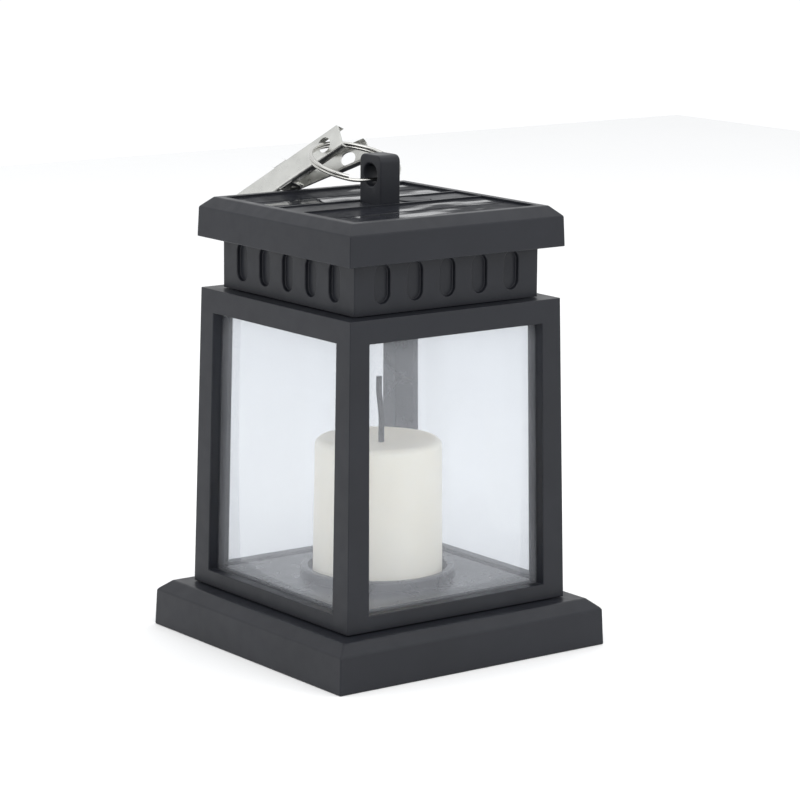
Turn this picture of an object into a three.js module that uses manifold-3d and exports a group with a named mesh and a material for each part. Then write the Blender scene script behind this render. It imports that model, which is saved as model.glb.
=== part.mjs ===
// A small solar candle lantern: a square plastic cage with four clear panes round a false candle,
// a roof with two solar panels and a power button, and a lug that carries a split ring and a spring clip.
// Millimetres, +Z up. The origin is the centre of the underside of the base. The front right wall
// faces -Y and the front left wall faces -X.
import * as THREE from "three";
import { mergeVertices, toCreasedNormals } from "three/addons/utils/BufferGeometryUtils.js";
import Module from "manifold-3d";

const wasm = await Module();
wasm.setup();

// ---------------------------------------------------------------- driving dimensions

const GAP = 0.2; // between pieces that touch

// screws
const SCREW_HEAD_R = 1.9;
const SCREW_SHANK_R = 0.95;
const SCREW_SLOT_WIDTH = 0.6;
const SCREW_HEAD_HEIGHT = 1.2;

// base
const BASE_HALF = 45;
const BASE_SIDE_TOP = 10.2;
const BASE_SIDE_TOP_HALF = 44.6;
const BASE_TOP = 13;
const BASE_TOP_HALF = 41.3;
const BASE_WALL = 2.2;
const COVER_THICKNESS = 1.8;
const BOSS_R = 3;
const PILOT_R = 1.15; // the hole that a screw bites into
const CLEARANCE_R = 1.3; // the hole that a screw passes through
const BASE_SCREW_AT = 37;
const BASE_SCREW_HEAD = 0.8;
const BASE_SCREW_SEAT = 1.1; // depth of the counterbore in the cover
const LEAD_HOLE_AT = 26.6;
const LEAD_HOLE_R = 2.6;
const MIDDLE_HOLE_R = 4;

// cage
const CAGE_BOTTOM = BASE_TOP + GAP;
const CAGE_TOP = 96.8;
const CAGE_HALF_BOTTOM = 36.9;
const CAGE_HALF_TOP = 35.25;
const CAGE_WALL = 5.4;
const CAGE_DECK = 2;
const CAGE_DECK_OPENING = 20;
const CAGE_SCREW_AT = 33.4;
const CAGE_LEAD_OPENING = [24, 27.6]; // in both X and Y
const WINDOW_BOTTOM = 17.6;
const WINDOW_TOP = 90.3;
const WINDOW_HALF_BOTTOM = 29.7;
const WINDOW_HALF_TOP = 29;
const REVEAL = 3.2; // from the outer face to the pane
const PANE_THICKNESS = 1;
const PANE_HALF_BOTTOM = 31.1;
const PANE_HALF_TOP = 30.3;
const PANE_TOP = 92;
const FLANGE_LIP = 0.9; // how far the inner flange shows behind the pane

// floor and candle
const FLOOR_TOP = 17.5;
const FLOOR_HALF = 30.9;
const COLLAR_OUTER_R = 21.6;
const COLLAR_INNER_R = 19.4;
const COLLAR_TOP = 20.2;
const COLLAR_ROUND = 0.5;
const BOARD_SEAT_R = 5;
const BOARD_SEAT_HOLE_R = 3.2;
const CANDLE_BOTTOM_R = 18.1;
const CANDLE_TOP_R = 17.6;
const CANDLE_TOP = 56.2;
const CANDLE_WALL = 1.6;
const CANDLE_EDGE = 2;
const WICK_R = 0.85;
const WICK_TOP = 73.4;
const WICK_FOOT = [0.66, -0.49]; // where the wick leaves the candle, off its axis
const WICK_TIP = [0.1, -0.07];
const LED_R = 2.5;
const LED_FLANGE_R = 2.9;
const LED_HEIGHT = 8.6;
const LED_BOARD_R = 9;
const LED_BOARD_BOTTOM = 22.4;
const LED_BOARD_THICKNESS = 1.2;

// wire channel in the back corner
const CHANNEL_INNER = 23.4;
const CHANNEL_WALL = 1.2;
const CHANNEL_TOP = 94.5;

// neck
const NECK_HALF = 30.75;
const NECK_WALL = 2.75;
const NECK_BOTTOM = CAGE_TOP + GAP;
const NECK_FLOOR = 1.6;
const NECK_FLANGE_BOTTOM = 111.3;
const NECK_FLANGE_TOP = 113;
const NECK_FLANGE_HALF = 33.4;
const NECK_SCREWS = [
  [-24.6, -24.6],
  [24.6, -24.6],
];
const BOARD_POSTS = [
  [-18, -20],
  [18, -20],
];
const POST_R = 2.6;
const BOARD_SCREW_LENGTH = 5;
const NECK_SCREW_LENGTH = 3.4;
const NECK_LEAD_HOLE_AT = 25.2;
const NECK_LEAD_HOLE_R = 2.4;
const SLOT_COUNT = 5;
const SLOT_PITCH = 10.8;
const SLOT_WIDTH = 5;
const SLOT_BOTTOM = 99.8;
const SLOT_TOP = 110.3;
const SLOT_DEPTH = 1.2;

// roof
const ROOF_BOTTOM = 111;
const ROOF_SIDE_TOP = 119.3;
const ROOF_TOP = 122.05;
const ROOF_HALF_BOTTOM = 36;
const ROOF_HALF_SIDE = 35.7;
const ROOF_HALF_TOP = 32.7;
const ROOF_WALL = 2.3;
const ROOF_DECK_BOTTOM = 118.3;
const DECK_TOP = 121.5;
const POCKET_FLOOR = 120;
const RIM_WIDTH = 2.3;
const STRIP_HALF = 5.5;
const RIB_WIDTH = 0.8;
const RIB_TOP = 121.95;

// solar panels
const PANEL_HALF_X = 29.9;
const PANEL_OUTER_Y = 30;
const PANEL_THICKNESS = 1.4;
const PANEL_BOTTOM = POCKET_FLOOR + GAP / 2;

// power button
const BUTTON_X = 11.4;
const BUTTON_R = 4.7;
const BUTTON_TOP = 121.9;
const BUTTON_HOLE_R = 5.2;
const BUTTON_FLANGE_R = 6;
const BUTTON_FLANGE_DEPTH = 1.6;
const SWITCH_HALF = 4.25;
const SWITCH_HEIGHT = 5.4;
const PLUNGER_R = 1.4;
const PLUNGER_DEPTH = 1.6; // how far it sits in the switch
const SWITCH_WELL = 3.4;

// electronics in the neck
const BOARD_BOTTOM = 106.4;
const BOARD_THICKNESS = 1.6;
const BOARD_HALF_X = 22;
const BOARD_Y = [-24, 9];
const BATTERY_R = 5.25;
const BATTERY_LENGTH = 44.5;
const BATTERY_Y = 17.4;
const BATTERY_Z = 105;
const HOLDER_HALF_X = 26.6;
const HOLDER_X = -1.3; // the holder sits off centre, leaving room for the leads
const HOLDER_HALF_Y = 6.7;
const HOLDER_END_WALL = 1.4;
const NIPPLE_R = 1.9;
const NIPPLE_LENGTH = 0.9;
const CONTACT_HALF = 3.2;
const COIL_TURNS = 2.5;
const COIL_BIG_R = 3.6;
const COIL_SMALL_R = 2.2;
const COIL_WIRE_R = 0.3;

// hanging lug
const LUG_HALF_X = 3.35;
const LUG_HALF_Y = 4.8;
const LUG_TOP = 135;
const LUG_ROUND = 1.2;
const LUG_HOLE_R = 3.1;
const LUG_HOLE_Z = 129.4;
const LUG_FOOT_HALF_Y = 10;
const LUG_FOOT_THICKNESS = 1.7;
const LUG_BLOCK_BOTTOM = 118;
const LUG_SCREW_Y = 7.6;
const LUG_SCREW_LENGTH = 2.8;

// the leads of the candle light: they run from the board into the corner channel, down to the base and
// up through the middle of the floor; each stop is a point and the way the pair spreads there
const LEAD_R = 0.55;
const LEAD_SPREAD = 0.8;
const LEAD_ROUTE = [
  [[22.5, 3, 107.2], [0, 1, 0]],
  [[24.4, 3.6, 106.8], [0, 1, 0.2]],
  [[26.2, 6.6, 104.2], [0, 0.5, 0.9]],
  [[26.7, 11, 102], [0, 0, 1]],
  [[26.7, 18, 101.6], [0, 0, 1]],
  [[26.3, 23.4, 100.9], [0, 0.4, 0.9]],
  [[25.8, 25.7, 98.4], [0, 1, 0.1]],
  [[25.9, 26.1, 95], [0, 1, 0]],
  [[26.6, 26.6, 86], [0, 1, 0]],
  [[26.8, 26.8, 55], [0, 1, 0]],
  [[26.8, 26.8, 22], [0, 1, 0]],
  [[26.6, 26.6, 12], [0, 1, 0]],
  [[24, 24, 7.2], [-0.5, 0.9, 0]],
  [[16, 16, 6.4], [-0.7, 0.7, 0]],
  [[6, 6, 6.4], [-0.7, 0.7, 0]],
  [[1.4, 1.4, 8.4], [-0.7, 0.7, 0]],
  [[0.1, 0.1, 13], [-0.7, 0.7, 0]],
  [[0, 0, LED_BOARD_BOTTOM - 0.3], [-0.7, 0.7, 0]],
];

// the solar panels' leads
const PANEL_LEAD_R = 0.5;
const PANEL_LEAD_X = -16;
const PANEL_LEAD_Y = 12;

// split ring
const RING_PIVOT_Z = 127.7;
const RING_R = 12.4;
const RING_TILT = THREE.MathUtils.degToRad(17.5);
const RING_RADIAL = 1.3;
const RING_AXIAL = 1.8;

// spring clip: two folded plates on one pin, each [along, height] place measured from the upper plate's
// handle end and its middle plane
const CLIP_LENGTH = 51.8;
const CLIP_WIDTH = 7.5;
const CLIP_THICKNESS = 0.7;
const CLIP_FOLD_R = 1; // outside radius of the folded edges
const CLIP_CORNER_R = 1.2;
const CLIP_SIDE_HEIGHT = 2.8; // of the upper plate's folded sides
const CLIP_SIDE_FULL_TO = 30;
const CLIP_SIDE_END = 38;
const CLIP_HOLE_FROM_END = 5.9;
const CLIP_HOLE_R = 2.2;
const CLIP_RING_X = -1.8; // where on the ring the clip hangs
const CLIP_PIVOT_U = 22;
const CLIP_PIVOT_N = 3.4;
const CLIP_PIN_R = 0.8;
const CLIP_PIN_HEAD = 0.3; // each head's thickness and its lip
const CLIP_EAR_R = 2.2;
const LEVER_START = [0.6, 13.2];
const LEVER_KNEE = [22, 6.25];
const LEVER_JAW = [
  [46, 1.5],
  [50.6, 1.5],
];
const LEVER_WIDTH = 5.6;
const LEVER_EAR_R = 1.9;
const LEVER_HANDLE_LENGTH = 12;
const LEVER_HANDLE_WIDTH = 7.4;
const LEVER_SIDE_HEIGHT = 2.2;
const LEVER_SIDE_FULL_TO = 9;
const LEVER_HOLE_FROM_END = 6.4;
const SPRING_WIRE_R = 0.22;
const SPRING_COIL_R = 1.45;
const SPRING_TURNS = 3.5;
const SPRING_HALF_WIDTH = 1.3;
const SPRING_LEG_END = 16;
const SPRING_LEG_HEIGHTS = [0.95, 6.7]; // of the two leg ends
const CLIP_ALONG = new THREE.Vector3(-0.367, 0.744, -0.558).normalize(); // from handle to jaw
const CLIP_ACROSS = new THREE.Vector3(-0.193, -0.648, -0.737); // along the pivot pin

// ---------------------------------------------------------------- helpers

function solid(geometry) {
  geometry.deleteAttribute("normal");
  geometry.deleteAttribute("uv");
  const merged = mergeVertices(geometry, 1e-4);
  return new wasm.Manifold(
    new wasm.Mesh({
      numProp: 3,
      vertProperties: merged.attributes.position.array,
      triVerts: new Uint32Array(merged.index.array),
    }),
  );
}

function geometryOf(manifold) {
  const mesh = manifold.getMesh();
  const geometry = new THREE.BufferGeometry();
  geometry.setAttribute("position", new THREE.BufferAttribute(mesh.vertProperties, 3));
  geometry.setIndex(new THREE.BufferAttribute(mesh.triVerts, 1));
  return toCreasedNormals(geometry, Math.PI / 6);
}

function box(x0, x1, y0, y1, z0, z1) {
  const geometry = new THREE.BoxGeometry(x1 - x0, y1 - y0, z1 - z0);
  return solid(geometry.translate((x0 + x1) / 2, (y0 + y1) / 2, (z0 + z1) / 2));
}

function squareBlock(half, z0, z1) {
  return box(-half, half, -half, half, z0, z1);
}

// A square block whose half width changes from bottom to top.
function taperedBlock(halfBottom, halfTop, z0, z1) {
  const geometry = new THREE.CylinderGeometry(halfTop * Math.SQRT2, halfBottom * Math.SQRT2, z1 - z0, 4);
  return solid(geometry.rotateY(Math.PI / 4).rotateX(Math.PI / 2).translate(0, 0, (z0 + z1) / 2));
}

function cylinder(r, z0, z1, x = 0, y = 0, segments = 32) {
  const geometry = new THREE.CylinderGeometry(r, r, z1 - z0, segments);
  return solid(geometry.rotateX(Math.PI / 2).translate(x, y, (z0 + z1) / 2));
}

function cylinderAlongX(r, x0, x1, y, z, segments = 32) {
  const geometry = new THREE.CylinderGeometry(r, r, x1 - x0, segments);
  return solid(geometry.rotateZ(Math.PI / 2).translate((x0 + x1) / 2, y, z));
}

// Turned about Z from a profile of [radius, z] pairs that starts and ends on the axis or closes on itself.
function turned(profile, segments = 48) {
  const points = profile.map(([r, z]) => new THREE.Vector2(r, z));
  return solid(new THREE.LatheGeometry(points, segments).rotateX(Math.PI / 2));
}

// A flat outline in the XY plane, given as [x, y] pairs, pushed up from z0 to z1.
function plate(outline, z0, z1) {
  const shape = new THREE.Shape(outline.map(([x, y]) => new THREE.Vector2(x, y)));
  const geometry = new THREE.ExtrudeGeometry(shape, { depth: z1 - z0, bevelEnabled: false });
  return solid(geometry.translate(0, 0, z0));
}

// An upright oblong with round ends, centred on x, pushed along +Y from y0 to y1.
function oblong(x, width, z0, z1, y0, y1) {
  const r = width / 2;
  const shape = new THREE.Shape();
  shape.absarc(x, z1 - r, r, 0, Math.PI);
  shape.absarc(x, z0 + r, r, Math.PI, 2 * Math.PI);
  shape.closePath();
  const options = { depth: y1 - y0, bevelEnabled: false, curveSegments: 6 };
  return solid(new THREE.ExtrudeGeometry(shape, options).rotateX(Math.PI / 2).translate(0, y1, 0));
}

// A round wire or lead along a smooth curve through the points.
function wire(points, r, steps, sides = 8) {
  const section = new THREE.Shape();
  for (let i = 0; i <= sides; i++) {
    const angle = (2 * Math.PI * i) / sides;
    const place = [r * Math.cos(angle), r * Math.sin(angle)];
    if (i === 0) section.moveTo(...place);
    else section.lineTo(...place);
  }
  const route = new THREE.CatmullRomCurve3(
    points.map((p) => new THREE.Vector3(...p)),
    false,
    "centripetal",
  );
  return solid(new THREE.ExtrudeGeometry(section, { steps, extrudePath: route, bevelEnabled: false }));
}

function union(...parts) {
  return parts.reduce((sum, part) => sum.add(part));
}

function cut(body, ...tools) {
  return tools.reduce((rest, tool) => rest.subtract(tool), body);
}

// The same solid turned a number of quarter turns about Z.
function quarterTurns(part, turns) {
  return part.rotate([0, 0, 90 * turns]);
}

function allFourWays(part) {
  return union(...[0, 1, 2, 3].map((turns) => quarterTurns(part, turns)));
}

function allCorners(at) {
  return [
    [-at, -at],
    [at, -at],
    [at, at],
    [-at, at],
  ];
}

// One cylinder at each [x, y] place.
function holesAt(places, r, z0, z1, segments = 12) {
  return places.map(([x, y]) => cylinder(r, z0, z1, x, y, segments));
}

function halfAt(z, z0, half0, z1, half1) {
  return half0 + ((half1 - half0) * (z - z0)) / (z1 - z0);
}

function cageHalf(z) {
  return halfAt(z, BASE_TOP, CAGE_HALF_BOTTOM, CAGE_TOP, CAGE_HALF_TOP);
}

// ---------------------------------------------------------------- materials

function finish(color, roughness, metalness = 0, extra = {}) {
  return new THREE.MeshStandardMaterial({ color, roughness, metalness, ...extra });
}

const blackPlastic = finish(0x3d4045, 0.5);
const clearPlastic = finish(0xe9eef2, 0.05, 0, { transparent: true, opacity: 0.25 });
const ivoryPlastic = finish(0xe3e4dc, 0.45);
const wickPlastic = finish(0x3a3c40, 0.7);
const solarGlass = finish(0x15171c, 0.08);
const nickel = finish(0xc9c8c3, 0.25, 1);
const zincScrew = finish(0xa8a9ab, 0.35, 1);
const boardGreen = finish(0x1f5a37, 0.5);
const batteryWrap = finish(0x2c6e8a, 0.4);
const rubber = finish(0x55585d, 0.6);
const redWire = finish(0xa5262a, 0.5);
const blackWire = finish(0x1c1c1e, 0.5);
const warmLens = finish(0xf3e6b8, 0.15);

const lantern = new THREE.Group();

function addTo(parent, name, part, material) {
  const mesh = new THREE.Mesh(geometryOf(part), material);
  mesh.name = name;
  parent.add(mesh);
}

function add(name, part, material) {
  addTo(lantern, name, part, material);
}

// ---------------------------------------------------------------- screws

// A pan-head screw pointing up: the head hangs below z, the shank rises from it.
function screw(x, y, z, length, headHeight = SCREW_HEAD_HEIGHT) {
  const head = cylinder(SCREW_HEAD_R, z - headHeight, z, 0, 0, 16);
  const shank = cylinder(SCREW_SHANK_R, z - 0.2, z + length, 0, 0, 8);
  const w = SCREW_SLOT_WIDTH / 2;
  const reach = SCREW_HEAD_R + 1;
  const slot = box(-w, w, -reach, reach, z - headHeight - 1, z - headHeight / 2);
  return cut(union(head, shank), slot).translate([x, y, 0]);
}

// The same screw pointing down, its head standing on z.
function screwDown(x, y, z, length) {
  return screw(0, 0, 0, length).rotate([180, 0, 0]).translate([x, y, z]);
}

// ---------------------------------------------------------------- base

function basePlinth() {
  const side = taperedBlock(BASE_HALF, BASE_SIDE_TOP_HALF, 0, BASE_SIDE_TOP);
  const bevel = taperedBlock(BASE_SIDE_TOP_HALF, BASE_TOP_HALF, BASE_SIDE_TOP, BASE_TOP);
  const hollow = squareBlock(BASE_HALF - BASE_WALL, -1, BASE_SIDE_TOP);
  const bosses = holesAt(allCorners(BASE_SCREW_AT), BOSS_R, COVER_THICKNESS + GAP, BASE_SIDE_TOP + 0.5, 20);
  const pilots = holesAt(allCorners(BASE_SCREW_AT), PILOT_R, 0, BASE_SIDE_TOP - BASE_WALL + 0.6);
  const top = BASE_TOP + 1;
  const inside = BASE_SIDE_TOP - 1;
  const cageScrewHoles = holesAt(allCorners(CAGE_SCREW_AT), CLEARANCE_R, inside, top, 16);
  const middleHole = cylinder(MIDDLE_HOLE_R, inside, top, 0, 0, 24);
  const leadHole = cylinder(LEAD_HOLE_R, inside, top, LEAD_HOLE_AT, LEAD_HOLE_AT, 20);
  const shell = union(cut(union(side, bevel), hollow), ...bosses);
  return cut(shell, ...pilots, ...cageScrewHoles, middleHole, leadHole);
}

function bottomCover() {
  const sheet = squareBlock(BASE_HALF - BASE_WALL - GAP, 0, COVER_THICKNESS);
  const holes = holesAt(allCorners(BASE_SCREW_AT), CLEARANCE_R, -1, COVER_THICKNESS + 1, 16);
  const counterbores = holesAt(allCorners(BASE_SCREW_AT), SCREW_HEAD_R + 0.4, -1, BASE_SCREW_SEAT, 20);
  return cut(sheet, ...holes, ...counterbores);
}

add("base_plinth", basePlinth(), blackPlastic);
add("bottom_cover", bottomCover(), blackPlastic);
allCorners(BASE_SCREW_AT).forEach(([x, y], i) => {
  add("base_screw_" + (i + 1), screw(x, y, BASE_SCREW_SEAT - GAP / 2, 5.5, BASE_SCREW_HEAD), zincScrew);
});

// ---------------------------------------------------------------- cage and panes

// The wall on the -Y side leans in by this angle.
const WALL_LEAN = Math.atan2(CAGE_HALF_BOTTOM - CAGE_HALF_TOP, CAGE_TOP - BASE_TOP);

// A leaning slab parallel to the -Y wall, from depth0 to depth1 behind its outer face.
function wallSlab(depth0, depth1, halfBottom, halfTop, z0, z1) {
  const outline = [
    [-halfBottom, z0],
    [halfBottom, z0],
    [halfTop, z1],
    [-halfTop, z1],
  ];
  const upright = plate(outline, -depth1, -depth0).rotate([90, 0, 0]);
  const leaning = upright.translate([0, 0, -BASE_TOP]).rotate([THREE.MathUtils.radToDeg(-WALL_LEAN), 0, 0]);
  return leaning.translate([0, -CAGE_HALF_BOTTOM, BASE_TOP]);
}

function cageFrame() {
  const outside = taperedBlock(cageHalf(CAGE_BOTTOM), CAGE_HALF_TOP, CAGE_BOTTOM, CAGE_TOP);
  const cavity = taperedBlock(
    CAGE_HALF_BOTTOM - CAGE_WALL,
    CAGE_HALF_TOP - CAGE_WALL,
    BASE_TOP - 0.01,
    CAGE_TOP - CAGE_DECK,
  );
  const deckSpan = [CAGE_TOP - CAGE_DECK - 1, CAGE_TOP + 1];
  const deckOpening = squareBlock(CAGE_DECK_OPENING, ...deckSpan);
  const leadOpening = box(...CAGE_LEAD_OPENING, ...CAGE_LEAD_OPENING, ...deckSpan);
  const window = wallSlab(-1, REVEAL + 0.1, WINDOW_HALF_BOTTOM, WINDOW_HALF_TOP, WINDOW_BOTTOM, WINDOW_TOP);
  const groove = wallSlab(
    REVEAL,
    REVEAL + PANE_THICKNESS + 2 * GAP,
    PANE_HALF_BOTTOM + GAP,
    PANE_HALF_TOP + GAP,
    CAGE_BOTTOM - 1,
    PANE_TOP + GAP,
  );
  const innerWindow = wallSlab(
    REVEAL + PANE_THICKNESS,
    CAGE_WALL + 1,
    WINDOW_HALF_BOTTOM - FLANGE_LIP,
    WINDOW_HALF_TOP - FLANGE_LIP,
    WINDOW_BOTTOM,
    WINDOW_TOP - FLANGE_LIP,
  );
  const openings = allFourWays(union(window, groove, innerWindow));
  const pilots = holesAt(allCorners(CAGE_SCREW_AT), PILOT_R, BASE_TOP - 1, BASE_TOP + 9);
  const neckPilots = holesAt(NECK_SCREWS, PILOT_R, CAGE_TOP - 3, CAGE_TOP + 1);
  return cut(outside, cavity, deckOpening, leadOpening, openings, ...pilots, ...neckPilots);
}

function windowPane() {
  return wallSlab(
    REVEAL + GAP,
    REVEAL + GAP + PANE_THICKNESS,
    PANE_HALF_BOTTOM - GAP,
    PANE_HALF_TOP - GAP,
    CAGE_BOTTOM + GAP,
    PANE_TOP,
  );
}

add("cage_frame", cageFrame(), blackPlastic);
["front_right", "back_right", "back_left", "front_left"].forEach((side, turns) => {
  add("window_pane_" + side, quarterTurns(windowPane(), turns), clearPlastic);
});
allCorners(CAGE_SCREW_AT).forEach(([x, y], i) => {
  add("cage_screw_" + (i + 1), screw(x, y, BASE_SIDE_TOP - 0.1, 10), zincScrew);
});

// ---------------------------------------------------------------- floor, candle and its light

function candleFloor() {
  const sheet = squareBlock(FLOOR_HALF, CAGE_BOTTOM, FLOOR_TOP);
  const foot = FLOOR_TOP - 0.5;
  const collar = turned([
    [COLLAR_INNER_R, foot],
    [COLLAR_OUTER_R + 0.2, foot],
    [COLLAR_OUTER_R, COLLAR_TOP - COLLAR_ROUND],
    [COLLAR_OUTER_R - COLLAR_ROUND, COLLAR_TOP],
    [COLLAR_INNER_R, COLLAR_TOP],
    [COLLAR_INNER_R, foot],
  ]);
  const boardSeat = cylinder(BOARD_SEAT_R, foot, LED_BOARD_BOTTOM - GAP, 0, 0, 24);
  const wireHole = cylinder(BOARD_SEAT_HOLE_R, CAGE_BOTTOM - 1, LED_BOARD_BOTTOM, 0, 0, 20);
  const cornerHole = box(
    CHANNEL_INNER + CHANNEL_WALL,
    FLOOR_HALF + 1,
    CHANNEL_INNER + CHANNEL_WALL,
    FLOOR_HALF + 1,
    CAGE_BOTTOM - 1,
    FLOOR_TOP + 1,
  );
  return cut(union(sheet, collar, boardSeat), wireHole, cornerHole);
}

function candleShell() {
  const bottom = FLOOR_TOP + GAP;
  const edge = [0, 1, 2, 3].map((i) => {
    const angle = (Math.PI / 2) * (i / 3);
    const r = CANDLE_TOP_R - CANDLE_EDGE + CANDLE_EDGE * Math.cos(angle);
    return [r, CANDLE_TOP - CANDLE_EDGE + CANDLE_EDGE * Math.sin(angle)];
  });
  const dish = 0.7; // how far the top sinks towards its middle
  const profile = [
    [CANDLE_BOTTOM_R - CANDLE_WALL, bottom],
    [CANDLE_BOTTOM_R, bottom],
    ...edge,
    [4, CANDLE_TOP - dish + 0.1],
    [0, CANDLE_TOP - dish],
    [0, CANDLE_TOP - CANDLE_WALL - dish],
    [CANDLE_TOP_R - CANDLE_WALL - 1, CANDLE_TOP - CANDLE_WALL - 0.2],
    [CANDLE_TOP_R - CANDLE_WALL, CANDLE_TOP - CANDLE_WALL - 1.2],
    [CANDLE_BOTTOM_R - CANDLE_WALL, bottom],
  ];
  const wickHole = cylinder(WICK_R + 0.25, CANDLE_TOP - 4, CANDLE_TOP + 1, ...WICK_FOOT, 20);
  return cut(turned(profile, 48), wickHole);
}

function candleWick() {
  const foot = (z) => [...WICK_FOOT, z];
  const tip = (z) => [...WICK_TIP, z];
  const bend = WICK_FOOT.map((v, i) => (v + WICK_TIP[i]) / 2);
  const route = [
    foot(CANDLE_TOP - 2.6),
    foot(CANDLE_TOP + 2),
    foot(CANDLE_TOP + 6),
    [...bend, CANDLE_TOP + 9.5],
    tip(CANDLE_TOP + 13),
    tip(WICK_TOP),
  ];
  return wire(route, WICK_R, 16, 10);
}

function candleLed() {
  const bottom = LED_BOARD_BOTTOM + LED_BOARD_THICKNESS + GAP;
  const tip = bottom + LED_HEIGHT;
  const dome = [1, 2, 3].map((i) => {
    const angle = (Math.PI / 8) * i;
    return [LED_R * Math.cos(angle), tip - LED_R + LED_R * Math.sin(angle)];
  });
  const profile = [
    [0, bottom],
    [LED_FLANGE_R, bottom],
    [LED_FLANGE_R, bottom + 1],
    [LED_R, bottom + 1],
    [LED_R, tip - LED_R],
  ];
  return turned([...profile, ...dome, [0, tip]], 24);
}

add("candle_floor", candleFloor(), blackPlastic);
add("candle_shell", candleShell(), ivoryPlastic);
add("candle_wick", candleWick(), wickPlastic);
const ledBoardTop = LED_BOARD_BOTTOM + LED_BOARD_THICKNESS;
add("led_board", cylinder(LED_BOARD_R, LED_BOARD_BOTTOM, ledBoardTop, 0, 0, 32), boardGreen);
add("candle_led", candleLed(), warmLens);

// ---------------------------------------------------------------- wire channel

function wireChannel() {
  const z0 = FLOOR_TOP + GAP;
  const inner = CHANNEL_INNER;
  const outer = CHANNEL_INNER + CHANNEL_WALL;
  const far = cageHalf(CHANNEL_TOP) - CAGE_WALL - GAP;
  const outline = [
    [inner, inner],
    [far, inner],
    [far, outer],
    [outer, outer],
    [outer, far],
    [inner, far],
  ];
  return plate(outline, z0, CHANNEL_TOP);
}

add("wire_channel", wireChannel(), blackPlastic);

// ---------------------------------------------------------------- neck

function neckShell() {
  const wall = squareBlock(NECK_HALF, NECK_BOTTOM, NECK_FLANGE_BOTTOM + 0.5);
  const flange = squareBlock(NECK_FLANGE_HALF, NECK_FLANGE_BOTTOM, NECK_FLANGE_TOP);
  const hollow = squareBlock(NECK_HALF - NECK_WALL, NECK_BOTTOM + NECK_FLOOR, NECK_FLANGE_TOP + 1);
  const slots = [];
  for (let i = 0; i < SLOT_COUNT; i++) {
    const x = (i - (SLOT_COUNT - 1) / 2) * SLOT_PITCH;
    slots.push(oblong(x, SLOT_WIDTH, SLOT_BOTTOM, SLOT_TOP, -NECK_HALF - 1, -NECK_HALF + SLOT_DEPTH));
  }
  const below = NECK_BOTTOM - 1;
  const aboveFloor = NECK_BOTTOM + NECK_FLOOR + 1;
  const posts = holesAt(BOARD_POSTS, POST_R, NECK_BOTTOM + 0.5, BOARD_BOTTOM - GAP, 20);
  const pilots = holesAt(BOARD_POSTS, PILOT_R, BOARD_BOTTOM - 6, BOARD_BOTTOM + 1);
  const screwHoles = holesAt(NECK_SCREWS, CLEARANCE_R, below, aboveFloor);
  const wireHole = cylinder(NECK_LEAD_HOLE_R, below, aboveFloor, NECK_LEAD_HOLE_AT, NECK_LEAD_HOLE_AT, 20);
  const shell = cut(union(wall, flange), hollow, allFourWays(union(...slots)));
  return cut(union(shell, ...posts), ...pilots, ...screwHoles, wireHole);
}

add("neck_shell", neckShell(), blackPlastic);

// ---------------------------------------------------------------- electronics

function circuitBoard() {
  const top = BOARD_BOTTOM + BOARD_THICKNESS;
  const sheet = box(-BOARD_HALF_X, BOARD_HALF_X, ...BOARD_Y, BOARD_BOTTOM, top);
  const holes = holesAt(BOARD_POSTS, CLEARANCE_R, BOARD_BOTTOM - 1, top + 1);
  return cut(sheet, ...holes);
}

function batteryHolder() {
  const floor = NECK_BOTTOM + NECK_FLOOR + GAP;
  const y0 = BATTERY_Y - HOLDER_HALF_Y;
  const y1 = BATTERY_Y + HOLDER_HALF_Y;
  const block = box(HOLDER_X - HOLDER_HALF_X, HOLDER_X + HOLDER_HALF_X, y0, y1, floor, BATTERY_Z + 1);
  const inside = HOLDER_HALF_X - HOLDER_END_WALL;
  const r = BATTERY_R + 0.35;
  const trough = cylinderAlongX(r, HOLDER_X - inside, HOLDER_X + inside, BATTERY_Y, BATTERY_Z);
  return cut(block, trough);
}

const batteryStart = HOLDER_X + HOLDER_HALF_X - HOLDER_END_WALL - 1.2 - BATTERY_LENGTH;

function batteryCell() {
  const end = batteryStart + BATTERY_LENGTH;
  const canEnd = end - NIPPLE_LENGTH;
  const nipple = cylinderAlongX(NIPPLE_R, canEnd - 0.1, end, BATTERY_Y, BATTERY_Z, 20);
  const can = cylinderAlongX(BATTERY_R, batteryStart, canEnd, BATTERY_Y, BATTERY_Z);
  return union(can, nipple);
}

function positiveContact() {
  const x = HOLDER_X + HOLDER_HALF_X - HOLDER_END_WALL - GAP;
  const h = CONTACT_HALF;
  return box(x - 0.5, x, BATTERY_Y - h, BATTERY_Y + h, BATTERY_Z - h, BATTERY_Z + h);
}

function springContact() {
  const x0 = HOLDER_X - HOLDER_HALF_X + HOLDER_END_WALL + 0.6;
  const x1 = batteryStart - 0.5;
  const count = 20;
  const points = [];
  for (let i = 0; i <= count; i++) {
    const share = i / count;
    const angle = 2 * Math.PI * COIL_TURNS * share;
    const r = COIL_BIG_R + (COIL_SMALL_R - COIL_BIG_R) * share;
    const x = x0 + (x1 - x0) * share;
    points.push([x, BATTERY_Y + r * Math.cos(angle), BATTERY_Z + r * Math.sin(angle)]);
  }
  return wire(points, COIL_WIRE_R, 40, 6);
}

const switchBottom = BOARD_BOTTOM + BOARD_THICKNESS + GAP;
const switchTop = switchBottom + SWITCH_HEIGHT;

function buttonSwitch() {
  const body = squareBlock(SWITCH_HALF, switchBottom, switchTop).translate([BUTTON_X, 0, 0]);
  return cut(body, cylinder(PLUNGER_R + 0.3, switchTop - SWITCH_WELL, switchTop + 1, BUTTON_X, 0, 20));
}

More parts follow.
